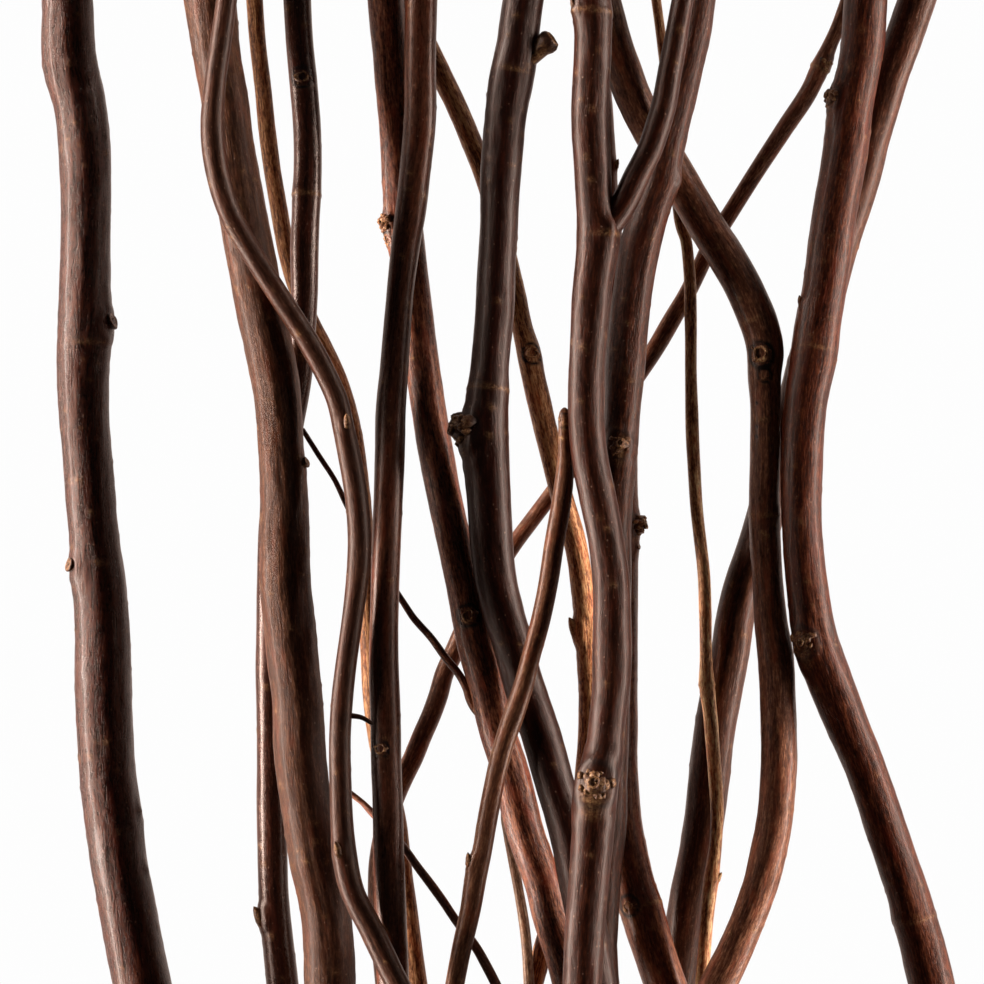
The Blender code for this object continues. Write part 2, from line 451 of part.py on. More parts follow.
def bark(name, colour):
    material = bpy.data.materials.new(name + "_bark")
    material.use_nodes = True
    shader = material.node_tree.nodes["Principled BSDF"]
    shader.inputs["Base Color"].default_value = (*colour, 1)
    shader.inputs["Roughness"].default_value = 0.5
    shader.inputs["Metallic"].default_value = 0.0
    return material


def build():
    for old in list(bpy.data.objects):
        bpy.data.objects.remove(old, do_unlink=True)
    bunch = bpy.data.collections.new(NAME)
    bpy.context.scene.collection.children.link(bunch)
    made = []
    for name, (runs, balls) in lay_all().items():
        stem = tube(name, runs[0])
        bunch.objects.link(stem)
        extra = [tube(name + "_side", run) for run in runs[1:]]
        extra += [knot(name + "_knot", ball) for ball in balls]
        if extra:
            group = bpy.data.collections.new(name + "_joined")
            bpy.context.scene.collection.children.link(group)
            for piece in extra:
                group.objects.link(piece)
            union = stem.modifiers.new("joined", "BOOLEAN")
            union.operation = "UNION"
            union.operand_type = "COLLECTION"
            union.collection = group
            union.solver = "EXACT"
            bpy.context.view_layer.update()
            ready = stem.evaluated_get(bpy.context.evaluated_depsgraph_get())
            whole = bpy.data.meshes.new_from_object(ready)
            stem.modifiers.clear()
            stem.data = whole
            for piece in extra:
                bpy.data.objects.remove(piece, do_unlink=True)
            bpy.data.collections.remove(group)
        stem.data.name = name
        stem.data.materials.clear()
        stem.data.materials.append(bark(name, COLOURS[name]))
        stem.data.shade_smooth()
        stem.data.set_sharp_from_angle(angle=math.radians(60))
        made.append(stem)
    # The origin goes to the middle of the bunch, on the surface.
    bpy.context.view_layer.update()
    corners = np.array([stem.matrix_world @ v.co for stem in made for v in stem.data.vertices])
    low, high = corners.min(axis=0), corners.max(axis=0)
    for stem in made:
        stem.location = (-(low[0] + high[0]) / 2, -(low[1] + high[1]) / 2, -low[2])
    return made


build()
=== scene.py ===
"""Looks of a bunch of cut curly willow stems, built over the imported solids.

The routes and the laying rule are those of the part itself, so each visible stem lies
where its solid does. The bark is raised from the tube by formulas, and coloured by nodes.
"""
import math

import bmesh
import bpy
import numpy as np
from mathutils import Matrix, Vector


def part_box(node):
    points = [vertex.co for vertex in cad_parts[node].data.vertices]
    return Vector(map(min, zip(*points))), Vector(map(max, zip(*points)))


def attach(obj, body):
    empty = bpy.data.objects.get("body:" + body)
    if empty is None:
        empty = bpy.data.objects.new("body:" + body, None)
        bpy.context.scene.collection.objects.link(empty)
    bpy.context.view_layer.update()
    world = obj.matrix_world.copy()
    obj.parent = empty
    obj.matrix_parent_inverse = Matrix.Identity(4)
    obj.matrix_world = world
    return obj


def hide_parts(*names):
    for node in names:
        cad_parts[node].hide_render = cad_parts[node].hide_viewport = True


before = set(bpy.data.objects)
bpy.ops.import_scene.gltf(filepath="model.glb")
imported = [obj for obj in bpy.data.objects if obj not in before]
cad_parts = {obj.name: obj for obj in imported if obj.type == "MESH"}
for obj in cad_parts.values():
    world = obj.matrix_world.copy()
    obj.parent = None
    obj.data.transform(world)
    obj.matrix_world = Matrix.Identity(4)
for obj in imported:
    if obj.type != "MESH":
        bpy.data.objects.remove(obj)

# Driving dimensions, in millimetres.
STRETCH = 196.8          # side of the square stretch that the routes are given in
GAP = 0.34               # clearance where one stem rests on another
STEP = 2.0               # spacing of the samples along a stem
BUTT_LENGTH = 118.0      # length of a stem below the stretch, on average
TOP_LENGTH = 205.0       # length of a stem above the stretch, on average
TIP_DIAMETER = 1.5       # diameter at the very top of a stem
BEND_RADIUS = 240.0      # how tightly a resting stem may bend up or down
COARSE = 2.4             # spacing of the rings of a visible stem outside the stretch
NEVER = -1e9             # height that stands for nothing below
SEED = 41

# Routes in millimetres. Each point is how far across and down it lies from the upper left
# corner of the stretch, and the diameter there.
ROUTES = {
    "stem_01": """
        13.2 0 10.4, 13.8 12.6 11, 15.8 21 10.4, 16.6 29.4 10.4, 16.8 42 10, 16.6 54.8 10.2,
        16.4 66 10.6, 16.2 74.4 10.4, 16.5 82.8 10, 17 91.2 10, 17.7 99.6 10, 18.5 108 10,
        19.4 116.4 10.8, 20 125 11, 20.4 139.2 11.4, 20.7 147.6 11.4, 21.3 156 11.6,
        22.4 164.4 11.6, 23.5 172.8 11.6, 25 181.2 11.8, 26.6 189.8 11.8, 28 196.8 11.8""",
    "stem_02": """
        42 0 10.4, 43.8 12.6 9.6, 45.2 21 9.6, 46.3 29.4 9.6, 48.2 40 9.6, 49.7 48.4 9.8,
        50.8 54 9.8, 51.7 59 9.8, 53 65.6 9.6, 54.9 74.4 9.6, 56 82.8 9.2, 56.4 91.2 9.1,
        56.9 99.6 9.6, 57.1 108 10, 57.3 116.4 10.2, 58.1 125 10.4, 58.7 131.6 10.4,
        59.6 139.2 10.1, 60 147.6 10.4, 60.7 156 10.2, 61.9 164.4 10, 63.2 172.8 10, 65 181.2 10,
        65.7 189.6 10.2, 65.9 196.8 10.2""",
    "stem_03": """
        59.4 0 5.6, 59.8 8.4 5.5, 60.6 16.8 5.6, 61.3 25.2 5.6, 61.5 33.6 5.6, 61.2 42 5.6,
        60.9 50.4 5.7, 60.9 59 5.4, 60.4 68 5.4, 59.5 77.2 5.4, 58 85 5.6, 56.2 94 5.8,
        54.9 102.6 5.8, 54.4 116.4 6, 54.1 130.8 6, 54.2 147.6 6, 54.2 164.4 6, 54.7 181.2 6.2,
        56.2 196.8 6.5""",
    "stem_04": """
        45.6 0 4.2, 44.5 8.4 4.2, 43.4 16.8 4.3, 42.8 25.2 4.8, 43.6 33.6 4.8, 45.9 42 4.6,
        50.4 50.4 4.4, 55.8 59 4.4, 61.7 68.2 4.4, 65.1 74.4 4.4, 67.6 80 4.4, 69 86 4.4,
        70.1 91.2 4.6, 71.5 99.6 4.6, 72.1 108 4.6, 71.6 116.4 4.4, 70.5 125 4.2, 69.6 131.6 4.2,
        68.7 139.2 4.4, 68.3 147.6 4.4, 68.4 156 4.4, 68.7 164.4 4.6, 69.2 170.4 5, 70.6 177 4.8,
        74.8 185.6 4.8, 78.8 194 4.8, 80.2 196.8 4.8""",
    "stem_05": """
        50.7 0 3.4, 51.3 8.4 3.3, 52.3 16.8 3.4, 53.1 25.2 3.5, 54.2 33.6 3.5, 55.6 42 3.6,
        57.2 50.4 3.6, 59.4 58 3.6, 61.8 64 3.6, 64.4 69 3.6, 67.2 75 3.6, 69.2 81 3.6,
        70.4 86 3.6, 71.6 94 3.6, 72.4 102 3.6, 72.9 112 3.6, 73.4 122 3.6, 73.9 130.8 3.7,
        74.4 140 3.8, 75.6 149 3.8, 77.6 157 3.8, 79.2 164 3.8, 80 170 3.8, 80.8 177 3.9,
        81.8 184 3.9, 82.5 190 4, 83.4 196.8 4""",
    "stem_06": """
        77.2 0 7.2, 77.8 7.6 7.2, 78.5 16 7.2, 79.2 23.6 7.2, 79.7 31.6 7.2, 80.3 40 7.2,
        81.4 50 7.2, 82.2 56 7, 83.4 66.2 7, 84.8 76.4 7, 86.4 86.6 7, 88.2 96 7, 89.7 103.2 7,
        91.9 113.6 7, 94 123.6 7.2, 94.8 128 7.2, 97 136 7.2, 99.4 145.8 7.2, 102 153.6 7.2,
        103.8 161.2 7.4, 106 169 7.4, 107.5 173.2 7.4, 108.8 177.2 7.4, 110 182.4 7.4,
        111.6 187.4 7.4, 113.2 192.6 7.4, 114.2 196.8 7.4""",
    "stem_07": """
        84.2 0 6.5, 84 12.6 6.4, 83.9 25.2 6.5, 83.1 33.6 6.3, 82.2 42 6.2, 81 50.4 5.7,
        80 59 5.4, 79.4 66 5.6, 78.8 74.4 5.8, 78.2 82.8 6, 78 91.2 5.9, 77.7 99.6 5.8,
        77.4 108 5.8, 77.2 116.4 5.8, 77 125 5.8, 76.9 130.8 5.9, 77.3 143.4 6, 77.4 151.8 6,
        77.7 160.2 6.1, 77.9 168.6 6.1, 78.1 177 6.2,
        78.3 185.6 6.3, 78.7 194 6.3, 78.8 196.8 6.3""",
    "stem_08": """
        104.7 0 8, 104 4.2 8.2, 103.4 9.2 8.6, 102.4 14.8 8.8, 101.4 21 8.4, 100.6 29.4 8.2,
        100 37.8 8, 99.7 46.2 7.8, 99.2 54.8 7.8, 98.8 63.2 7.8, 97.9 74.4 7.8, 97.4 82.8 8.4,
        97.4 91.2 8.8, 97.8 99.6 8.6, 98.2 108 8.6, 99.3 116.4 8.4, 100.6 122.4 8.4,
        102.3 128 8.2, 104.8 137 8.2, 107.8 145.8 8, 110.1 153.6 8, 112.4 161.2 8, 114.4 169 8,
        116 177 8, 117.6 186 8, 119.2 196.8 8""",
    "stem_09": """
        118.3 0 7.8, 118.6 8.4 7.6, 118.2 16.8 7.6, 117.9 25.2 7.6, 118.3 33.6 7.4, 118.8 42 7.6,
        119.4 46.2 8.8, 119.2 51.2 8.6, 118.5 56.4 8, 118.1 61.4 7.7, 117.7 66.6 7.4,
        117.3 73 7.3, 117.1 82.8 7.2, 117.8 91.2 7.4, 119.4 99.6 7.4, 121 108 7.2, 122 116.4 7.4,
        122.2 125 7.6, 122.2 130.8 7.8, 122 137.2 7.4, 121.3 143.4 7.2, 120.6 149.8 7.3,
        119.2 156 8, 118.7 160.2 8.2, 118.4 164.4 8.2, 117.7 172.8 8.1, 117 181.2 8,
        116.5 189.8 7.9, 116.2 196.8 7.8""",
    "stem_10": """
        81.6 0 4.2, 84.6 7 4.2, 87.9 13.9 4.2, 91.3 21 4.2, 94.2 27.8 4.2, 96.6 34 4.2,
        99.4 43 4.2, 101.6 52 4.2, 103.2 59 4.2, 104.6 66 4.2, 105.7 70.2 4.8, 106.5 74.4 4.8,
        108.4 82.8 4.8, 110.4 91.2 4.6, 112.4 99.6 4.4, 114.9 108 4.4, 115.7 112.2 4.4,
        116.7 120 4.6, 117.4 126 4.6, 117.6 130.8 4.6, 118 139.2 4.6, 117.8 147.6 4.6,
        117.3 154 4.6, 116 163 4.4, 113.8 172 4.2, 111.2 181 4, 109 188 3.8, 106.8 196.8 3.6""",
    "stem_11": """
        112.8 82.8 1.8, 112.8 87 2.4, 112.9 91.2 2.8, 112.8 95.4 3.6, 112.3 99.6 3.8, 110.9 108 4,
        109.6 116.4 4, 107.8 125 3.9, 106.2 130.8 3.8, 104.5 137.2 4, 102.4 143.4 4.3,
        101 147.6 4.1, 99.8 151.8 4, 98.9 156 4, 97.3 164.4 4, 96.2 170.8 4, 95.3 174.2 4.4,
        94.1 181.2 4.2, 92.2 189.8 3.9, 90.9 196.8 3.9""",
    "stem_12": """
        139.7 0 6.8, 139 5 7, 137.8 10.4 7.1, 136.7 15.2 7.2, 135.4 20.4 7.3, 134 25.6 7.4,
        132.9 30.6 7.5, 132.1 35.8 7.6, 130.3 41 7.7, 128.1 48.8 8, 127.2 53.8 7.9, 126.5 59 7.8,
        125.9 64 7.9, 125.4 69.2 8, 125 74.2 8, 124.5 82.8 7.2, 123.9 91.2 7.2, 123.1 99.6 7.2,
        122.7 108 7.2, 122.7 116.4 7.2, 122.8 125 7.2, 122.6 130.8 7.4, 122.2 143.4 7.6,
        121.8 156 7.6, 121.6 164.4 7.6, 120.7 172.8 7.6, 120.1 181.2 7.6, 119.6 189.8 7.6,
        120 196.8 7.6""",
    "stem_13": """
        118.4 0 5.6, 119.2 12 5.8, 119.6 19 6, 120.2 28 6, 120.8 37.8 6, 121.8 50 6.2,
        122.8 66 6.6, 123.8 84 7.2, 124 100 7.4, 124 112 7.4, 123.9 124 7.6, 124 140 7.6,
        124 145.4 7.6, 123.7 151.6 7.8, 124 158.2 7.8, 124.4 163.6 8, 125.4 170 8.2,
        126.7 176.2 8.4, 128.5 182.4 8.6, 129.3 185.2 8.6, 131.6 192.6 8.6, 133 196.8 8.6""",
    "stem_14": """
        120.9 0 7, 123.6 10.2 7.2, 126.5 18.4 7.4, 130 25.6 7.4, 134.4 33 7.6, 139 41 7.6,
        142.1 46.2 7.6, 145.3 51.2 7.6, 148.3 56.4 7.6, 150.4 61 7.6, 152.3 66 7.6,
        153.1 70.2 7.4, 153 74.4 6.8, 153.2 80 6.2, 153.2 91.2 6.1, 153 99.6 6, 153.2 108 6.2,
        153.7 116.4 6.2, 154.3 125 6.6, 155.1 130.8 7.2, 155.6 139.2 7.4, 155.8 147.6 7.5,
        155.6 156 7.5, 154.8 164.4 7.3, 153 172.8 7.2, 150.4 181.2 7, 146.8 189.8 7.2,
        143.4 196.8 7.6""",
    "stem_15": """
        183.7 0 7.6, 181 7.6 7.6, 178.6 13.8 7.6, 176.5 20.6 7.6, 174.5 27.4 7.6, 172.6 35 7.6,
        170.6 41.2 7.6, 168.6 47.2 7.6, 167.2 52.2 7.6, 165 61 7.6, 162.4 70 7.6, 159.6 80 7.6,
        156.8 90 7.6, 154.2 100 7.6, 151.2 110.2 7.8, 149.2 116.4 7.8, 147.5 122.8 7.9,
        146.2 130.8 8, 144.4 139.2 8.2, 142.9 147.6 8.2, 142 156 8.4, 141 164.4 8.2,
        139.5 173.6 8.2, 138 181 8.2, 137 187 8.2, 135.6 196.8 8.2""",
    "stem_16": """
        131.5 0 2, 132.2 5 2, 133 11 2.1, 133.8 18 2.1, 134.6 26 2.1, 135.2 34 2.2, 135.8 41 2.2,
        136.4 45 2.2, 137.3 47.4 2.3, 137.8 51.2 2.3, 138.2 56.4 2.4, 138.3 61.4 2.5,
        138.4 66.6 2.4, 138.4 74.4 2.4, 138.6 85 2.7, 139 93.4 2.6, 139.5 101.8 2.5,
        140.2 108 2.5, 140.9 114.4 2.5, 141.2 122.8 2.5, 141.3 130.8 2.4, 141.5 137.2 2.9,
        142.2 143.4 2.8, 142.7 149.8 2.8, 143.2 156 2.8, 143.5 162.4 2.6, 143.2 168.6 2.5,
        142.2 176.2 3, 141.4 183.4 2.7, 140.9 189.8 2.6, 140.3 196.8 2.6""",
    "stem_17": """
        173.3 0 8.8, 172.7 8.4 8.7, 171.5 16 8.6, 170.6 21 8.8, 169.6 27.4 9.2, 168.6 33.6 9,
        167.1 42 8.9, 166 50.4 9, 164.7 59 8.9, 163.5 66 9.2, 163 70.2 9.4, 162.3 74.4 9.2,
        161.5 78.6 8.8, 160.8 85 8.5, 160.4 93.4 8.2, 160.3 101.8 8.1, 160.7 110.2 8.1,
        161.6 118.6 8.3, 162.6 125 8.6, 164 131 9.2, 165.2 134.2 9, 167.6 140.4 8.8,
        170.2 146.8 8.4, 172.6 152.6 8.2, 175.1 159.4 8.2, 177.7 167 8.3, 179.7 172.8 8.2,
        182 179.6 8.4, 183.1 183.8 8.6, 184.6 188.8 9, 186.6 196.8 9.2""",
    "stem_18": """
        169.8 0 3, 168 5 3, 166.4 8.4 2.9, 164.5 12.6 3.4, 162.7 16.8 3.6, 157.3 25.2 3.6,
        151.8 33.6 3.4, 146.5 42 3.4, 142.8 48 3.4, 140 53.8 3.4, 137.4 59 3.4, 134.5 64 3.6,
        131.5 69.2 3.6, 128.3 74.2 3.4, 122 83 3.4, 115.6 91.8 3.4, 109.4 100.1 3.3,
        106.4 104.1 3.3, 102.8 109 3.3, 98.4 116 3.4, 93.6 124 3.6, 90.6 131 3.8, 88.8 135 3.8,
        87.6 139.2 4, 86.1 143.4 4, 84.3 147.6 4, 82.6 151.8 4, 80.5 156 4, 78.4 161 4,
        76.6 167 4, 75.6 173 4, 75.4 179 4, 75.8 186 4.2, 76.4 192 4.2, 77 196.8 4.4""",
    "twig_19": """
        68 156.6 1.2, 70.4 158.4 1.2, 72.7 160.2 1.2, 74.4 162 1.5, 77.6 165.2 1.6, 80.9 169 1.6,
        83.6 172.8 1.7, 86.2 176.2 1.8, 88.8 179.8 1.8, 91.2 183.4 1.8, 93.2 186 1.9,
        95 188.4 1.9, 97.4 192.6 2, 99.6 196.8 2""",
    "twig_20": """
        101.2 160 1.6, 101 163 1.8, 101.6 167 1.8, 102.6 172 2, 103.8 178.4 2, 104.8 184.4 2.1,
        105.4 190 2.1, 105.8 196.8 2.2""",
}

# The order in which the stems are laid down, lowest first.
LAID = ["stem_15", "stem_18", "stem_13", "stem_16", "stem_14", "stem_12", "stem_10", "twig_20",
        "stem_05", "stem_06", "stem_08", "stem_03", "stem_02", "twig_19", "stem_07", "stem_11",
        "stem_09", "stem_17", "stem_04", "stem_01"]

# Stems that end in the stretch, with their own thin tip there.
TIPPED = {"stem_11", "twig_19", "twig_20"}

# Side branches inside the stretch, from the base outwards. They grow from the named stem.
BRANCHES = {
    "stem_09": ["""
        119.4 47.6 5.2, 121.6 45.2 5.2, 123 43.6 5, 124.6 41 5, 127.1 35.8 5, 129.7 30.6 4.9,
        131.4 25.6 4.9, 132.8 20.4 4.8, 133.7 15.2 4.7, 134.6 10.2 4.6, 135.5 5 4.4,
        136.4 0 4.3"""],
    "stem_06": ["""
        97.8 144 1.9, 96 142.6 1.8, 94.4 140.6 1.7, 93.2 137.2 1.6, 91.4 134.2 1.5, 89.4 131.8 1.5,
        86.2 127.4 1.4, 82.8 123.6 1.4, 80.4 120 1.3, 78 116.4 1.3, 75 111.6 1.2, 72 106 1.2,
        69.2 100.6 1.2, 67 96 1.1, 64 91.4 1.1, 60.6 86 1"""],
    "stem_04": ["""
        68.8 142.8 1.1, 72.3 143 0.9, 74.4 144.2 0.8"""],
}

# The branch that goes on past the upper edge of the stretch.
LONG_BRANCH = ("stem_09", 0)

# Knots, buds and stubs: across, down, radius, and how far the centre lies above the stem's own.
KNOTS = {
    "stem_01": [(22.1, 64.6, 1.3, 0.0), (28.3, 162.2, 1.5, 0.0), (29.4, 174, 1.5, 0.0)],
    "stem_02": [(61.4, 93, 1.3, 0.8)],
    "stem_03": [(51.2, 183.2, 1.5, 0.0)],
    "stem_04": [(70.3, 85.2, 1.2, 0.6), (67.0, 170.4, 1.4, 0.6)],
    "stem_06": [(76.6, 45.8, 1.7, 0.6), (93.4, 123.4, 3.9, 0.0)],
    "stem_08": [(93.2, 86.4, 3.1, 0.6), (106.6, 11.4, 2.1, 0.6), (109.4, 8.8, 1.9, 0.9)],
    "stem_09": [(119.6, 47.2, 4.8, 0.0), (118.7, 156.8, 3.9, 1.3)],
    "stem_10": [(106.3, 71.2, 2.6, 0.0), (115.0, 125.6, 1.3, 0.4)],
    "stem_11": [(93.9, 171.8, 1.4, 0.3)],
    "stem_12": [(124.2, 88.6, 3.8, 0.0)],
    "stem_13": [(127.4, 105.2, 1.9, 0.0)],
    "stem_14": [(152.4, 71.6, 3.9, 0.2)],
    "stem_16": [(141.4, 137.2, 1.7, 0.0), (144.2, 175.4, 0.9, 0.0)],
    "stem_17": [(165.8, 19.6, 2.1, 0.6), (160.8, 128.6, 3.0, 0.6)],
}

# Side twigs above the stretch: how far up it they leave, and to which side.
TOP_TWIGS = {
    "stem_01": (46, 1), "stem_02": (62, -1), "stem_06": (52, -1), "stem_07": (70, 1),
    "stem_08": (44, 1), "stem_12": (64, -1), "stem_14": (50, 1), "stem_15": (40, 1),
    "stem_17": (74, -1),
}


def plan(route):
    """Route points as x, y and radius about the middle of the stretch."""
    p = np.array([[float(v) for v in point.split()] for point in route.split(",")])
    return np.column_stack([p[:, 0] - STRETCH / 2, STRETCH / 2 - p[:, 1], p[:, 2] / 2])


def lengths_of(p):
    """Length along a line at each of its points."""
    return np.concatenate([[0.0], np.cumsum(np.sqrt(((p[1:] - p[:-1]) ** 2).sum(axis=1)))])


def curve(p, t, s):
    """Values at s of a smooth curve through the rows of p, which lie at t."""
    m = np.gradient(p, t, axis=0)
    i = np.clip(np.searchsorted(t, s, side="right") - 1, 0, len(t) - 2)
    h = (t[i + 1] - t[i])[:, None]
    u = (s - t[i])[:, None] / h
    return ((2 * u**3 - 3 * u**2 + 1) * p[i] + (u**3 - 2 * u**2 + u) * h * m[i]
            + (3 * u**2 - 2 * u**3) * p[i + 1] + (u**3 - u**2) * h * m[i + 1])


def smooth_route(p):
    """A smooth line through the points, with a sample about every step."""
    t = lengths_of(p[:, :2])
    return curve(p, t, np.linspace(0.0, t[-1], max(int(round(t[-1] / STEP)), 2) + 1))


def carry_on(p, heading, length, end_radius, aim, curl, wave, phase, power):
    """Samples that carry a stem on from point p, curling about the mean heading aim."""
    count = max(int(round(length / STEP)), 2)
    out = []
    x, y, r0 = p
    for k in range(1, count + 1):
        s = k * STEP
        blend = 1 - math.exp(-s / 55.0)
        h = heading * (1 - blend) + blend * (aim + curl * math.sin(2 * math.pi * s / wave + phase))
        x += STEP * math.sin(h)
        y += STEP * math.cos(h)
        f = (k / count) ** power
        out.append((x, y, r0 + (end_radius - r0) * f))
    return np.array(out)


def heading_of(a, b):
    """Angle of the step from a to b, measured from +Y towards +X."""
    return math.atan2(b[0] - a[0], b[1] - a[1])


def draw_stem(name, rng):
    """Plan route of a whole stem, from its top to its butt, and where the stretch begins."""
    p = smooth_route(plan(ROUTES[name]))
    r_top, r_low = p[0, 2], p[-1, 2]
    x_top, x_low = p[0, 0], p[-1, 0]
    thick = r_low > 2.6
    # Down to the butt, measured with y turned round so that the heading stays small.
    flip = np.array([1.0, -1.0, 1.0])
    a, b = p[-3] * flip, p[-1] * flip
    length = BUTT_LENGTH + rng.uniform(-26, 20)
    aim = -math.atan2(x_low * (0.3 if thick else 0.1) + rng.uniform(-11, 11), length)
    low = carry_on(b, heading_of(a, b), length, r_low * 1.09, aim, rng.uniform(0.06, 0.2),
                   rng.uniform(150, 230), rng.uniform(0, 6.28), 1.0) * flip
    if name in TIPPED:
        return np.vstack([p, low]), 0
    a, b = p[2], p[0]
    length = TOP_LENGTH + rng.uniform(-45, 30) - (0 if thick else 40)
    aim = math.atan2(-x_top * 0.22 + rng.uniform(-22, 22), length)
    top = carry_on(b, heading_of(a, b), length, TIP_DIAMETER / 2, aim, rng.uniform(0.22, 0.42),
                   rng.uniform(105, 165), rng.uniform(0, 6.28), 1.25)
    return np.vstack([top[::-1], p, low]), len(top)


def draw_twig(stem, start, up, side, rng):
    """A side twig that leaves a stem above the stretch."""
    k = start - int(up / STEP)
    h = heading_of(stem[k + 2], stem[k])
    r = stem[k, 2] * 0.56
    first = np.array([[stem[k, 0], stem[k, 1], r]])
    run = carry_on((stem[k, 0], stem[k, 1], r), h + side * 0.75, rng.uniform(70, 95), 0.65,
                   side * rng.uniform(0.1, 0.3), rng.uniform(0.3, 0.45), rng.uniform(70, 100),
                   0.0 if side > 0 else math.pi, 1.0)
    return np.vstack([first, run]), k


def draped(need):
    """The lowest run at or above the needed heights whose bends keep to the bend radius."""
    s = np.arange(len(need)) * STEP
    bow = (s[:, None] - s[None, :]) ** 2 / (2 * BEND_RADIUS)
    over = (need[None, :] - bow).max(axis=1)
    wide = (over[None, :] - bow).max(axis=1)
    return (wide[None, :] + bow).min(axis=1)


def height_over(xyr, bodies):
    """Lowest centre heights for discs xyr that clear the bodies laid before."""
    need = xyr[:, 2].copy()
    for b in bodies:
        reach = xyr[:, 2][:, None] + b[:, 3][None, :] + GAP
        d2 = ((xyr[:, 0][:, None] - b[:, 0][None, :]) ** 2
              + (xyr[:, 1][:, None] - b[:, 1][None, :]) ** 2)
        lift = b[:, 2][None, :] + np.sqrt(np.maximum(reach**2 - d2, 0))
        lift = np.where(d2 < reach**2, lift, NEVER)
        need = np.maximum(need, lift.max(axis=1))
    return need


def nearest(line, x, y):
    """Number of the line's point that is nearest to x, y from above."""
    return int(np.argmin((line[:, 0] - x) ** 2 + (line[:, 1] - y) ** 2))


def lay_all():
    """Every stem as its runs, the stem and then its branches: x, y, z and radius, in mm."""
    rng = np.random.default_rng(SEED)
    drawn = {}
    for name in ROUTES:
        stem, start = draw_stem(name, rng)
        side = []
        for n, points in enumerate(BRANCHES.get(name, [])):
            b = smooth_route(plan(points))
            if (name, n) == LONG_BRANCH:
                on = carry_on(b[-1], heading_of(b[-3], b[-1]), 120, 0.75, 0.12, 0.35, 120, 2.4, 1.1)
                b = np.vstack([b, on])
            side.append((b, nearest(stem, b[0, 0], b[0, 1])))
        if name in TOP_TWIGS:
            up, turn = TOP_TWIGS[name]
            side.append(draw_twig(stem, start, up, turn, rng))
        drawn[name] = (stem, side, rng.uniform(0, 6.28), rng.uniform(165, 240))
    bodies, laid = [], {}
    for name in LAID:
        stem, side, phase, wave = drawn[name]
        s = np.arange(len(stem)) * STEP
        ripple = 1.4 * (1 - np.cos(2 * np.pi * s / wave + phase))
        need = np.maximum(height_over(stem, bodies), stem[:, 2] + ripple)
        knots = [(across - STRETCH / 2, STRETCH / 2 - down, r, up)
                 for across, down, r, up in KNOTS.get(name, [])]
        for x, y, r, up in knots:
            k = nearest(stem, x, y)
            need[k] = max(need[k], height_over(np.array([[x, y, r]]), bodies)[0] - up)
        branch_needs = [height_over(b, bodies) for b, _ in side]
        for _ in range(4):
            z = draped(need)
            branch_z = []
            for (b, k), low in zip(side, branch_needs):
                low = low.copy()
                low[0] = max(low[0], z[k])
                bz = draped(low)
                need[k] = max(need[k], bz[0])
                branch_z.append(bz)
        runs = [np.column_stack([stem[:, 0], stem[:, 1], z, stem[:, 2]])]
        for (b, k), bz in zip(side, branch_z):
            runs.append(np.column_stack([b[:, 0], b[:, 1], bz, b[:, 2]]))
        bodies.extend(runs)
        if knots:
            bodies.append(np.array([(x, y, z[nearest(stem, x, y)] + up, r)
                                    for x, y, r, up in knots]))
        laid[name] = runs
    return laid


# Fine surface.

# How each stem looks: palette, gloss from 0 to 1, streak contrast from 0 to 1, relief in mm.
STYLES = {
    "stem_01": ("red", 0.75, 0.9, 0.085), "stem_02": ("grey", 0.25, 0.6, 0.09),
    "stem_03": ("dark", 1.0, 0.25, 0.035), "stem_04": ("grey", 0.3, 0.45, 0.045),
    "stem_05": ("tan", 0.3, 1.0, 0.075), "stem_06": ("red", 0.7, 0.85, 0.07),
    "stem_07": ("dark", 0.7, 0.3, 0.035), "stem_08": ("dark", 0.45, 0.5, 0.065),
    "stem_09": ("dark", 0.35, 0.55, 0.06), "stem_10": ("tan", 0.35, 1.0, 0.095),
    "stem_11": ("brown", 0.5, 0.35, 0.03), "stem_12": ("dark", 0.35, 0.75, 0.085),
    "stem_13": ("red", 0.7, 0.5, 0.045), "stem_14": ("brown", 0.6, 0.6, 0.06),
    "stem_15": ("dark", 0.45, 0.5, 0.06), "stem_16": ("tan", 0.3, 0.9, 0.05),
    "stem_17": ("red", 0.45, 0.75, 0.065), "stem_18": ("brown", 0.45, 0.5, 0.035),
    "twig_19": ("dark", 0.5, 0.3, 0.015), "twig_20": ("tan", 0.4, 0.8, 0.03),
}

# Deep, middle and raised bark colours of each palette, as linear light.
PALETTES = {
    "dark": ((0.008, 0.0026, 0.0015), (0.030, 0.0100, 0.0055), (0.095, 0.037, 0.021)),
    "red": ((0.010, 0.0027, 0.0015), (0.055, 0.0130, 0.0055), (0.160, 0.056, 0.026)),
    "brown": ((0.013, 0.0046, 0.0025), (0.058, 0.0190, 0.0090), (0.165, 0.068, 0.034)),
    "grey": ((0.018, 0.0080, 0.0047), (0.062, 0.0285, 0.0160), (0.165, 0.087, 0.050)),
    "tan": ((0.050, 0.0190, 0.0090), (0.215, 0.092, 0.0400), (0.370, 0.205, 0.100)),
}

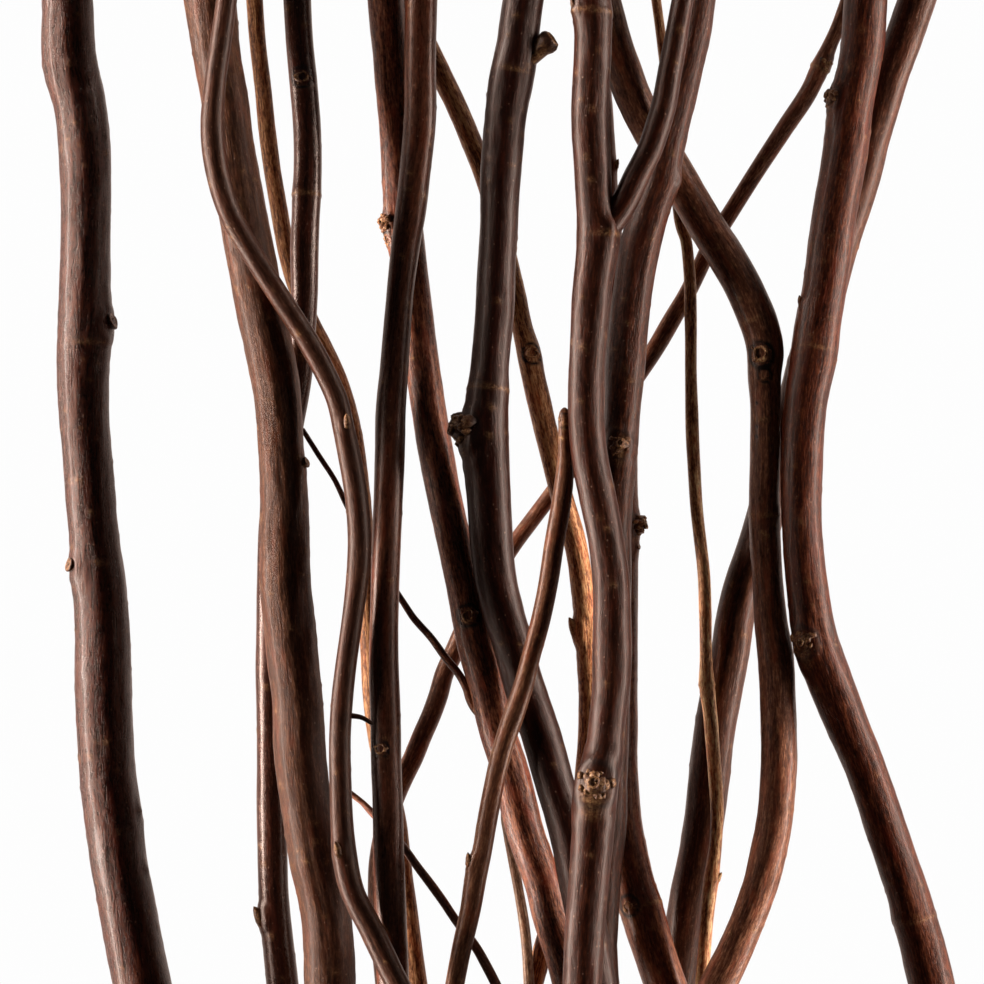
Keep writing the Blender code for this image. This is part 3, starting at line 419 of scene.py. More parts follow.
# Each stem's palette is multiplied by these. They are partly the stem's own tone and partly painted
# light: stems that the others keep from the lamps are lifted, twig_19 most, and stems that the
# lamps reach well are darkened.
TONES_AND_PAINTED_LIGHT = {
    "stem_01": (0.34, 0.21, 0.16), "stem_02": (0.71, 0.56, 0.49), "stem_03": (0.95, 0.80, 0.80),
    "stem_04": (0.52, 0.41, 0.41), "stem_05": (1.40, 1.30, 1.20), "stem_06": (1.75, 1.80, 1.85),
    "stem_07": (2.00, 1.80, 1.60), "stem_08": (0.42, 0.21, 0.14), "stem_09": (0.66, 0.43, 0.30),
    "stem_10": (2.15, 1.90, 1.75), "stem_11": (1.80, 2.05, 2.15), "stem_12": (1.00, 0.71, 0.54),
    "stem_13": (2.10, 2.20, 2.10), "stem_14": (2.40, 2.55, 2.70), "stem_15": (1.60, 1.60, 1.50),
    "stem_16": (2.30, 2.40, 2.50), "stem_17": (0.86, 0.68, 0.58), "stem_18": (2.80, 3.20, 3.60),
    "twig_19": (6.00, 8.00, 10.0), "twig_20": (0.95, 1.20, 1.60),
}

# Other colours of the bark, the painted shade of the creases and hollows round its marks, and the
# stops of its scars and of the end grain.
PALEST = 0.72
PORE = (0.20, 0.12, 0.085)
CREASE_SHADE_COLOUR = (0.006, 0.004, 0.004)
SCAR = ((0.35, (0.03, 0.012, 0.007)), (0.5, (0.17, 0.08, 0.035)), (0.66, (0.38, 0.22, 0.10)))
END_GRAIN = ((0.2, (0.30, 0.19, 0.10)), (0.8, (0.46, 0.32, 0.18)), (0.5, (0.38, 0.25, 0.14)))

# Marks on the bark: kind, across, down and size in the stretch, in mm.
MARKS = {
    "stem_01": [("stub", 22.2, 64.8, 2.8, 1.5), ("ring", 18.5, 68.2, 0.5),
        ("stub", 13.2, 113.6, 2.3, 1.1), ("bump", 28.3, 162.2, 0.7), ("bump", 29.6, 174.0, 0.6),
        ("bump", 14.0, 12.0, 0.7), ("bump", 20.9, 27.0, 0.4)],
    "stem_02": [("stub", 61.4, 93.0, 1.6), ("bump", 46.6, 51.4, 0.5)],
    "stem_03": [("eye", 60.4, 15.8, 2.0), ("ring", 61.4, 39.4, 0.8), ("bud", 51.0, 183.8, 2.2)],
    "stem_04": [("bud", 69.6, 84.6, 1.5), ("bud", 68.0, 169.6, 1.6)],
    "stem_06": [("knot", 76.2, 44.8, 2.0, 1.4), ("knot", 76.6, 47.8, 1.4, 0.7),
        ("eye", 93.8, 123.4, 2.1)],
    "stem_07": [("eye", 76.3, 149.2, 1.6)],
    "stem_08": [("knot", 92.4, 86.4, 3.3, 3.0), ("stub", 93.6, 89.0, 2.2, 0.4),
        ("ring", 98.0, 78.4, 0.8), ("ring", 102.6, 14.0, 0.6)],
    "stem_09": [("ring", 118.3, 3.8, 1.5), ("bud", 115.0, 2.2, 1.6), ("knot", 118.6, 156.8, 4.0),
        ("ring", 121.6, 47.4, 0.75), ("bump", 122.0, 46.2, 1.1), ("bump", 120.2, 48.0, 0.6)],
    "stem_10": [("eye", 106.6, 71.2, 1.9, 0.7), ("bud", 115.0, 126.0, 2.3),
        ("stub", 115.2, 127.0, 1.3, 0.5), ("ring", 106.0, 72.0, 0.7)],
    "stem_11": [("bud", 94.0, 171.6, 1.5), ("knot", 112.8, 84.3, 1.3, 0.1),
        ("ring", 112.5, 87.6, 0.5)],
    "stem_12": [("knot", 123.9, 89.2, 2.4), ("bump", 136.0, 36.4, 0.9)],
    "stem_13": [("knot", 127.8, 105.0, 2.1, 1.7), ("stub", 127.4, 109.4, 1.0, 0.7),
        ("bud", 123.6, 33.0, 1.1), ("ring", 128.2, 181.2, 0.9), ("eye", 125.8, 181.4, 2.0)],
    "stem_14": [("eye", 152.2, 71.4, 2.4, 0.8), ("eye", 153.0, 75.4, 1.3),
        ("ring", 153.2, 102.8, 1.0), ("ring", 149.6, 64.4, 0.6), ("pit", 151.4, 80.8, 0.5),
        ("pit", 151.4, 85.2, 0.4), ("pit", 151.4, 87.4, 0.4)],
    "stem_16": [("ring", 141.5, 137.2, 1.0), ("bud", 144.0, 175.8, 1.0)],
    "stem_17": [("knot", 165.2, 19.4, 2.3, 1.3), ("bud", 160.0, 60.2, 1.1),
        ("knot", 160.6, 128.6, 2.8, 0.8), ("ring", 182.6, 184.0, 1.0),
        ("bump", 167.8, 72.4, 0.5), ("ring", 163.2, 69.6, 0.4)],
    "stem_18": [("ring", 165.4, 13.6, 0.9), ("knot", 166.0, 12.2, 1.5, 0.3)],
}

# Lengths of the bark's forms along a stem, in mm.
RIB, FIBRE, LUMP, BEND, GRIT = 19.0, 5.0, 9.0, 34.0, 1.6

# The long cut stub of stem_08 runs between these points; its diameter is last.
CUT_STUB = ((105.0, 12.2), (110.6, 7.6), 4.0)


def lattice(s, turn, cell, around, rng):
    """Smooth noise over length s (rows) and turn (columns) that closes round the stem."""
    rows = int(s.max() / cell) + 3
    grid = rng.uniform(-1, 1, (rows, around))
    u = (s / cell)[:, None]
    v = turn * around
    i, j = np.floor(u).astype(int), np.floor(v).astype(int)
    fu, fv = u - i, v - j
    fu, fv = fu * fu * (3 - 2 * fu), fv * fv * (3 - 2 * fv)
    i = np.broadcast_to(i, v.shape)
    j0, j1 = j % around, (j + 1) % around
    a = grid[i, j0] * (1 - fv) + grid[i, j1] * fv
    b = grid[i + 1, j0] * (1 - fv) + grid[i + 1, j1] * fv
    return a * (1 - fu) + b * fu


def ring_places(run, fine):
    """Lengths along a run for its rings: close inside the stretch, wider outside it."""
    t = lengths_of(run[:, :3])
    out = [0.0]
    while out[-1] < t[-1]:
        inside = abs(np.interp(out[-1], t, run[:, 1])) < STRETCH / 2 + 6
        out.append(min(out[-1] + (fine if inside else COARSE), t[-1]))
    return np.array(out)


def frames(c):
    """Unit vectors across (towards -X on a stem) and up, for each point of a line."""
    t = np.gradient(c, axis=0)
    t /= np.linalg.norm(t, axis=1)[:, None]
    across = np.cross(t, (0.0, 0.0, 1.0))
    size = np.linalg.norm(across, axis=1)[:, None]
    across = np.where(size > 1e-4, across / np.maximum(size, 1e-4), (1.0, 0.0, 0.0))
    return across, np.cross(across, t)


class Shape:
    """Vertices, faces and surface values of one piece, gathered from several shells."""

    def __init__(self):
        self.points, self.faces, self.grain, self.tan, self.cut = [], [], [], [], []
        self.count = 0

    def shell(self, rings, grain, tan, cut):
        """Adds a closed shell. rings is (n, sides, 3); the ends are closed by a centre point."""
        n, sides = rings.shape[:2]
        flat = rings.reshape(-1, 3)
        ends = np.array([rings[0].mean(axis=0), rings[-1].mean(axis=0)])
        end_grain = np.array([grain[0].mean(axis=0), grain[-1].mean(axis=0)])
        base = self.count
        i, j = np.meshgrid(np.arange(n - 1), np.arange(sides), indexing="ij")
        a = base + i * sides + j
        b = base + i * sides + (j + 1) % sides
        quads = np.stack([a, a + sides, b + sides, b], axis=-1).reshape(-1, 4)
        k = np.arange(sides)
        first = np.stack([base + k, base + (k + 1) % sides, np.full(sides, base + n * sides)], -1)
        low = base + (n - 1) * sides
        last = np.stack([low + (k + 1) % sides, low + k, np.full(sides, base + n * sides + 1)], -1)
        self.points += [flat, ends]
        self.grain += [grain.reshape(-1, 3), end_grain]
        self.tan += [tan.reshape(-1), [tan[0].mean(), tan[-1].mean()]]
        self.cut += [cut.reshape(-1), [cut[0].mean(), cut[-1].mean()]]
        self.faces.append((quads, first, last))
        self.count += n * sides + 2

    def mesh(self, name, shift):
        points = (np.concatenate(self.points) + shift) / 1000
        mesh = bpy.data.meshes.new(name)
        quads = np.concatenate([f[0] for f in self.faces])
        tris = np.concatenate([t for f in self.faces for t in f[1:]])
        mesh.vertices.add(len(points))
        mesh.vertices.foreach_set("co", points.astype(np.float32).ravel())
        loops = np.concatenate([quads.ravel(), tris.ravel()])
        starts = np.concatenate([np.arange(len(quads)) * 4,
                                 len(quads) * 4 + np.arange(len(tris)) * 3])
        mesh.loops.add(len(loops))
        mesh.loops.foreach_set("vertex_index", loops.astype(np.int32))
        mesh.polygons.add(len(starts))
        mesh.polygons.foreach_set("loop_start", starts.astype(np.int32))
        mesh.update(calc_edges=True)
        mesh.validate()
        grain = mesh.attributes.new("grain", "FLOAT_VECTOR", "POINT")
        grain.data.foreach_set("vector", np.concatenate(self.grain).astype(np.float32).ravel())
        for label, values in (("tan", self.tan), ("cut", self.cut)):
            attribute = mesh.attributes.new(label, "FLOAT", "POINT")
            attribute.data.foreach_set("value", np.concatenate(values).astype(np.float32))
        mesh.shade_smooth()
        return mesh


def polar(run_points, x, y):
    """Ring and angle of a mark that is seen at x, y from above."""
    k = int(np.argmin((run_points[:, 0] - x) ** 2 + (run_points[:, 1] - y) ** 2))
    t = run_points[min(k + 2, len(run_points) - 1), :2] - run_points[max(k - 2, 0), :2]
    t /= np.linalg.norm(t)
    left = (x - run_points[k, 0]) * t[1] + (y - run_points[k, 1]) * -t[0]
    return k, math.acos(float(np.clip(left / run_points[k, 3], -0.93, 0.93)))


def bell(x, width):
    return np.exp(-(x / width) ** 2)


def mark_relief(kind, size, gap, away, lean, r):
    """Rise in mm, tan and cut values that a mark gives to the bark. A negative cut value is painted
    shade: in the crease round an eye or a knot, and in a pit.

    gap is the way round the stem from the mark's middle, away the way along it, and lean tilts
    a ring scar. r is the stem's radius at the mark.
    """
    far = np.sqrt(gap**2 + away**2) / size
    if kind == "ring":
        tilt = away + 0.0875 * size * lean
        mask = 1.0 if size >= 0.8 else bell(gap, 0.8 * r)
        rise = 0.13 * bell(tilt, 0.34) - 0.08 * bell(tilt - 0.8, 0.4) + 0.16 * bell(tilt, 2.4)
        return mask * size * rise, mask * 0.55 * bell(tilt, 0.38), 0
    if kind == "eye":
        brow = bell(away - 1.05 * size + 0.3 * gap**2 / size, 0.3) * bell(gap, 1.2 * size)
        rise = size * (0.10 * bell(far, 1.5) + 0.09 * brow)
        # The negative cut makes a ring of painted shade in the crease round the eye.
        return rise, 0.4 * brow, -0.7 * bell(far - 1.05, 0.22)
    if kind == "pit":
        # A pit is sunk and darkened with painted shade.
        return -0.14 * bell(far, 0.8), 0, -0.9 * bell(far, 0.8)
    if kind == "bump":
        return 0.62 * size * bell(gap, 1.1 * size) * bell(away, 1.7 * size), 0, 0
    # Knots, stubs and buds swell the stem and fold the bark round them.
    wide = {"knot": 1.35, "stub": 1.3, "bud": 0.9}[kind] * size
    folds = np.cos(6.6 * np.sqrt(gap**2 + (away * 0.8) ** 2) / size)
    rise = size * (0.34 * bell(gap, wide) * bell(away, 1.4 * wide)
                   + 0.05 * folds * bell(gap, 1.9 * size) * bell(away, 2.2 * size))
    if kind != "knot":
        return rise, 0, 0
    wedge = np.clip(away / (1.9 * size), 0, 1)
    tan = 0.8 * bell(gap, 0.42 * size) * (away > 0) * (1 - wedge**2)
    # A ring of painted shade where the knot meets the bark.
    return rise, tan, -0.5 * bell(far - 1.12, 0.18)


def stem_shell(shape, run, relief, rng, marks, ends, sides, fine):
    """The bark of one stem: a tube with ribs, lumps, ring scars and swollen nodes."""
    s = ring_places(run, fine)
    p = curve(run, lengths_of(run[:, :3]), s)
    c, r = p[:, :3], np.maximum(p[:, 3], 0.3)
    across, up = frames(c)
    turn = np.arange(sides) / sides
    theta = 2 * np.pi * turn[None, :]
    twist = rng.uniform(-0.0015, 0.0015)
    spun = (turn[None, :] + twist * s[:, None]) % 1.0
    wide = max(6, int(r.mean() * 5.5))
    narrow = min(wide * 2, sides // 2)
    ribs, fibres, lumps, bends, grit = [
        lattice(s, spun, cell, around, rng) for cell, around in (
            (RIB, wide), (FIBRE, narrow), (LUMP, 4), (BEND, 3), (GRIT, narrow))]
    d = (relief * np.clip(r / 3.0, 0.35, 1.3)[:, None] * (0.8 * ribs + 0.6 * fibres + 0.45 * grit)
         + np.clip(r / 4.0, 0.25, 1.15)[:, None] * (0.11 * lumps + 0.09 * bends))
    tan = np.zeros((len(s), sides))
    cut = np.zeros((len(s), sides))
    for kind, x, y, size in [mark[:4] for mark in marks]:
        k, angle = polar(p, x, y)
        gap = np.angle(np.exp(1j * (theta - angle))) * r[:, None]
        lean = np.cos(theta - angle + 0.8) * r[:, None]
        # Each mark raises the bark, pales its scars and paints shade into its creases.
        rise, paler, painted_crease_shade = mark_relief(kind, size, gap, (s - s[k])[:, None], lean, r[k])
        d += rise
        tan += paler
        cut += painted_crease_shade
    # Warts and breathing pores, scattered by the seed.
    warts = [(rng.uniform(0, s[-1]), rng.uniform(0, 6.283), rng.uniform(0.22, 0.5))
             for _ in range(int(s[-1] * r.mean() * 0.035))]
    more = np.random.default_rng(int(100 * s[-1]))
    warts += [(more.uniform(0, s[-1]), more.uniform(0, 6.283), more.uniform(0.3, 0.62))
              for _ in range(2 * len(warts))]
    for at, angle, size in warts:
        near = np.abs(s - at) < 3 * size
        if not near.any():
            continue
        gap = np.angle(np.exp(1j * (theta - angle))) * r[near][:, None]
        spot = bell(gap, size * 1.4) * bell((s[near] - at)[:, None], size)
        d[near] += 0.15 * min(1.0, r.mean() / 4) * spot
        tan[near] += 0.45 * spot
    direction = np.cos(theta)[..., None] * across[:, None] + np.sin(theta)[..., None] * up[:, None]
    rings = c[:, None] + (r[:, None] + d)[..., None] * direction
    grain = np.empty_like(rings)
    grain[..., 0] = r.mean() * np.cos(theta + 2 * np.pi * twist * s[:, None])
    grain[..., 1] = r.mean() * np.sin(theta + 2 * np.pi * twist * s[:, None])
    grain[..., 2] = s[:, None]
    # A cut end gets a rounded rim and its end grain, a tip is drawn out to a point.
    caps = []
    for end, at, inner in ((ends[0], 0, 1), (ends[1], -1, -2)):
        step = c[at] - c[inner]
        step = step / np.linalg.norm(step) * (1.0 if end == "cut" else 0.8 * r[at])
        caps.append([(c[at] + (rings[at] - c[at]) * share + step * out_by,
                      grain[at] * (share * r[at] / r.mean(), share * r[at] / r.mean(), 1),
                      np.zeros(sides), np.full(sides, wood))
                     for share, out_by, wood in (CUT_END if end == "cut" else TIP_END)])
    head, tail = caps
    bark = (rings, grain, np.clip(tan, 0, 1), np.clip(cut, -1, 1))
    shape.shell(*[np.concatenate([[row[n] for row in head[::-1]], values, [row[n] for row in tail]])
                  for n, values in enumerate(bark)])
    return p


def horn(shape, base, way, tall, radius, profile, rng, tan, lobes=0.0, cut=0.0, sides=20,
         lean=(0, 0, 0)):
    """A small shell raised from base along way. Its profile lists height and radius as shares."""
    rise, r = np.array(profile, dtype=float).T
    n = len(rise)
    r = r * radius
    way = np.array(way, dtype=float) / np.linalg.norm(way)
    c = (np.array(base) + way * (rise * tall)[:, None]
         + np.array(lean) * (rise.clip(0, 1) ** 2)[:, None])
    a = np.cross(way, (0.0, 0.0, 1.0) if abs(way[2]) < 0.8 else (0.0, 1.0, 0.0))
    a /= np.linalg.norm(a)
    b = np.cross(a, way)
    turn = np.arange(sides) / sides
    theta = 2 * np.pi * turn
    steps = np.linspace(0, 10, n)
    rough = lattice(steps, np.broadcast_to(turn, (n, sides)), 2.4, 6, rng)
    fine = lattice(steps, np.broadcast_to(turn, (n, sides)), 1.0, 11, rng)
    r = r[:, None] * (1 + lobes * (0.75 * rough + 0.45 * fine))
    round_it = np.cos(theta)[:, None] * a + np.sin(theta)[:, None] * b
    rings = c[:, None] + r[..., None] * round_it
    rings += way * (lobes * 0.5 * radius * fine * np.clip(rise, 0, 1)[:, None])[..., None]
    grain = np.empty_like(rings)
    grain[..., 0], grain[..., 1] = r * np.cos(theta), r * np.sin(theta)
    grain[..., 2] = (rise * tall)[:, None] + rng.uniform(0, 90)
    tans = np.clip((np.asarray(tan) * np.ones(n))[:, None] * (1 + 0.8 * rough), 0, 1)
    cuts = np.broadcast_to((np.asarray(cut) * np.ones(n))[:, None], (n, sides))
    shape.shell(rings, grain, tans, cuts)


# How a stem's ends are closed: ring radius as a share, how far out it lies (in mm on a cut end,
# in 0.8 radii on a tip), and how much it shows end grain.
CUT_END = ((0.97, 0.12, 0.0), (0.93, 0.22, 0.6), (0.90, 0.24, 1.0), (0.62, 0.26, 1.0),
           (0.30, 0.25, 1.0), (0.10, 0.16, 1.0))
TIP_END = ((0.93, 0.35, 0.0), (0.80, 0.75, 0.0), (0.60, 1.15, 0.0), (0.34, 1.5, 0.0),
           (0.12, 1.68, 0.0))

# Profiles: height and radius of each ring, as shares of the whole.
BUD = ((0, 0.4), (0.1, 0.8), (0.22, 1.0), (0.36, 1.04), (0.5, 0.98), (0.63, 0.86), (0.76, 0.66),
       (0.87, 0.45), (0.95, 0.25), (1.0, 0.08))
KNOB = ((0, 1.2), (0.25, 1.15), (0.45, 1.07), (0.62, 0.95), (0.77, 0.79), (0.89, 0.58),
        (0.97, 0.34), (1.0, 0.1))
RIM = ((-0.9, 1.2), (0.1, 1.1), (0.7, 0.98), (1.0, 0.84), (0.92, 0.70), (0.45, 0.58), (0.1, 0.44),
       (0.05, 0.3), (0.3, 0.18), (0.35, 0.06))
RIM_TAN = (0, 0.2, 0.7, 1, 0.9, 0.4, 0, 0.2, 0.6, 0.8)
# Painted shade for a rim, ring by ring: darker round its base and down in its hollow.
RIM_CREASE_SHADE = (-0.4, -0.3, 0, 0, 0, -0.3, -0.5, -0.3, 0, 0)
PLUG = ((0, 1.3), (0.12, 1.22), (0.25, 1.06), (0.4, 0.94), (0.55, 0.92), (0.7, 0.98), (0.8, 1.1),
        (0.9, 1.12), (0.97, 1.0), (1.0, 0.86), (0.98, 0.66), (0.95, 0.4), (0.97, 0.15))
PLUG_TAN = (0, 0, 0.1, 0.3, 0.55, 0.6, 0.25, 0.1, 0.1, 0.5, 0.8, 0.8, 0.8)
# Painted shade for a stub, ring by ring: at its base, round its lip and in the middle of its cut
# face.
PLUG_CREASE_SHADE = (-0.6, -0.2, 0, 0, 0, 0, -0.2, -0.3, -0.3, 0, 0, -0.3, -0.5)


# Painted shade for knots and their lobes, darkest at the base and fading up them.
KNOT_CREASE_SHADE = np.linspace(-0.7, 0.1, len(KNOB)).clip(-1, 0)
LOBE_CREASE_SHADE = np.linspace(-0.9, 0.35, len(KNOB)).clip(-1, 0)

# How far a mark sticks out, as a share of its size, where the mark itself doesn't say.
STICK = {"bud": 0.0, "stub": 0.75, "knot": 0.3, "eye": 0.18}


def add_mark(shape, p, mark, rng):
    """The raised part of a bud, stub, eye or knot on the stem whose points are p."""
    kind, x, y, size = mark[:4]
    if kind not in STICK:
        return
    stick = mark[4] if len(mark) > 4 else STICK[kind] * size
    k, angle = polar(p, x, y)
    across, up = frames(p[:, :3])
    out = math.cos(angle) * across[k] + math.sin(angle) * up[k]
    to_tip = p[max(k - 3, 0), :3] - p[min(k + 3, len(p) - 1), :3]
    to_tip = to_tip / np.linalg.norm(to_tip)
    face = p[k, :3] + out * p[k, 3]
    if kind == "bud":
        ripe = 1.0 if size > 2 else 0.7
        horn(shape, face - out * 0.35 * size - to_tip * 0.6 * size, to_tip + 0.62 * out,
             2.1 * size, 0.5 * size, BUD, rng, np.linspace(0.3 * ripe, ripe, len(BUD)), 0.12,
             lean=out * -0.15 * size)
        horn(shape, face - out * 0.4 * size - to_tip * 0.75 * size, to_tip + 0.9 * out,
             1.3 * size, 0.5 * size, KNOB, rng, 0.35 * ripe, 0.2)
    elif kind == "stub":
        horn(shape, face - out * 0.6 * size, out + 0.35 * to_tip, 0.6 * size + stick, 0.6 * size,
             PLUG, rng, PLUG_TAN, 0.14, PLUG_CREASE_SHADE)
    elif kind == "eye":
        horn(shape, face - out * 0.05 * size, out + 0.12 * to_tip, 0.05 * size + stick,
             0.62 * size, RIM, rng, RIM_TAN, 0.36, RIM_CREASE_SHADE, sides=24)
        lumps(shape, face, out, to_tip, 0.9 * size, stick * 0.6, 4, (0.6, 0.9), (0.16, 0.28), rng)
    else:
        horn(shape, face - out * 0.5 * size, out + 0.15 * to_tip, 0.70 * size + stick, 0.72 * size,
             KNOB, rng, np.linspace(0, 0.7, len(KNOB)), 0.30, KNOT_CREASE_SHADE, sides=30)
        lumps(shape, face, out, to_tip, size, stick, 12, (0.22, 0.72), (0.25, 0.44), rng)
        hollow = face + out * (0.10 * size + stick) + to_tip * size * rng.uniform(-0.1, 0.25)
        horn(shape, hollow, out + 0.2 * to_tip, 0.16 * size, 0.30 * size, RIM, rng, RIM_TAN, 0.26,
             RIM_CREASE_SHADE)


def lumps(shape, face, out, to_tip, size, stick, count, reach, thick, rng):
    """Small lobes round a knot that run into each other."""
    round_it = np.cross(out, to_tip)
    for n in range(count):
        swing = 2 * math.pi * (n * 0.382 + rng.uniform(-0.05, 0.05))
        side = math.cos(swing) * to_tip + math.sin(swing) * round_it
        far = reach[0] + (reach[1] - reach[0]) * (n + 0.5) / count
        tall = (0.56 * size + stick * rng.uniform(0.75, 1.1)) * (1.18 - 0.48 * far)
        horn(shape, face - out * 0.5 * size + side * size * far, out + 0.3 * side, tall,
             size * rng.uniform(*thick), KNOB, rng,
             np.linspace(0, rng.uniform(0.4, 1.3), len(KNOB)), 0.3,
             LOBE_CREASE_SHADE, sides=14)


# Sides round a stem and ring spacing inside the stretch, by the least radius that has them.
MESHES = ((2.9, 54, 0.68), (1.7, 38, 0.70), (0, 26, 0.75))


def scars_outside(run, rng):
    """Beyond the stretch: ring scars, with a bud beside each, alternately left and right."""
    t = lengths_of(run[:, :3])
    marks = []
    at, side = rng.uniform(14, 40), 1 if rng.uniform() < 0.5 else -1
    while at < t[-1] - 12:
        x, y, r = [np.interp(at, t, run[:, n]) for n in (0, 1, 3)]
        if abs(y) > STRETCH / 2 + 5:
            marks.append(("ring", x, y, min(0.9, 0.35 + r * 0.15)))
            marks.append(("bud" if r < 3.6 else "bump", x - side * r * rng.uniform(0.4, 0.95),
                          y + 0.8, float(np.clip(0.5 + r * 0.3, 0.7, 1.5))))
        side = -side
        at += rng.uniform(26, 52)
    return marks


def dress(name, runs, rng):
    """The whole visible piece of one stem, in millimetres about the stretch."""
    shape = Shape()
    thick = runs[0][:, 3].max()
    sides, fine = next(values for least, *values in MESHES if thick > least)
    own = [(kind, x - STRETCH / 2, STRETCH / 2 - y, *rest)
           for kind, x, y, *rest in MARKS.get(name, [])]
    for n, run in enumerate(runs):
        marks = (own if n == 0 else []) + scars_outside(run, rng)
        ends = ("tip", "cut")
        if n:
            # A branch starts inside its parent, with a collar where it leaves.
            run = run.copy()
            run[:, 3] *= 1 + 0.22 * np.exp(-np.arange(len(run)) * STEP / 5.0)
            sides, ends = min(sides, 30), ("cut", "tip")
        p = stem_shell(shape, run, STYLES[name][3], rng, marks, ends, sides, fine)
        for mark in marks:
            add_mark(shape, p, mark, rng)
    if name == "stem_08":
        # The long cut stub leaves half a millimetre above the stem's middle and rises a little.
        (x0, y0), (x1, y1), wide = CUT_STUB
        base = np.array([x0 - STRETCH / 2, STRETCH / 2 - y0, 0.5])
        base[2] += runs[0][nearest(runs[0], *base[:2]), 2]
        way = np.array([x1 - x0, y0 - y1, 1.2])
        horn(shape, base - way * (0.3, 0.3, 0), way, np.linalg.norm(way) * 1.3, wide / 2, PLUG,
             rng, PLUG_TAN, 0.12, PLUG_CREASE_SHADE, sides=28)
    return shape


def feed(tree, n, values):
    """Links node outputs to a node's sockets, or sets the sockets to plain values."""
    for key, value in values.items():
        socket = n.inputs[key]
        if isinstance(value, bpy.types.NodeSocket):
            tree.links.new(value, socket)
        else:
            socket.default_value = (*value, 1) if socket.type == "RGBA" else value
    return n


def node(tree, kind, values, **settings):
    """A new node with its settings and its sockets."""
    n = tree.nodes.new("ShaderNode" + kind)
    for key, value in settings.items():
        setattr(n, key, value)
    return feed(tree, n, values)


def ramp(tree, value, *stops):
    n = node(tree, "ValToRGB", {"Fac": value})
    for at, _ in stops[2:]:
        n.color_ramp.elements.new(at)
    for element, (at, colour) in zip(n.color_ramp.elements, sorted(stops)):
        element.position = at
        element.color = (*colour, 1)
    return n.outputs["Color"]


def scaled(colour, factors):
    """A colour times factors, no channel over the palest that bark gets."""
    return tuple(min(PALEST, a * b) for a, b in zip(colour, factors))


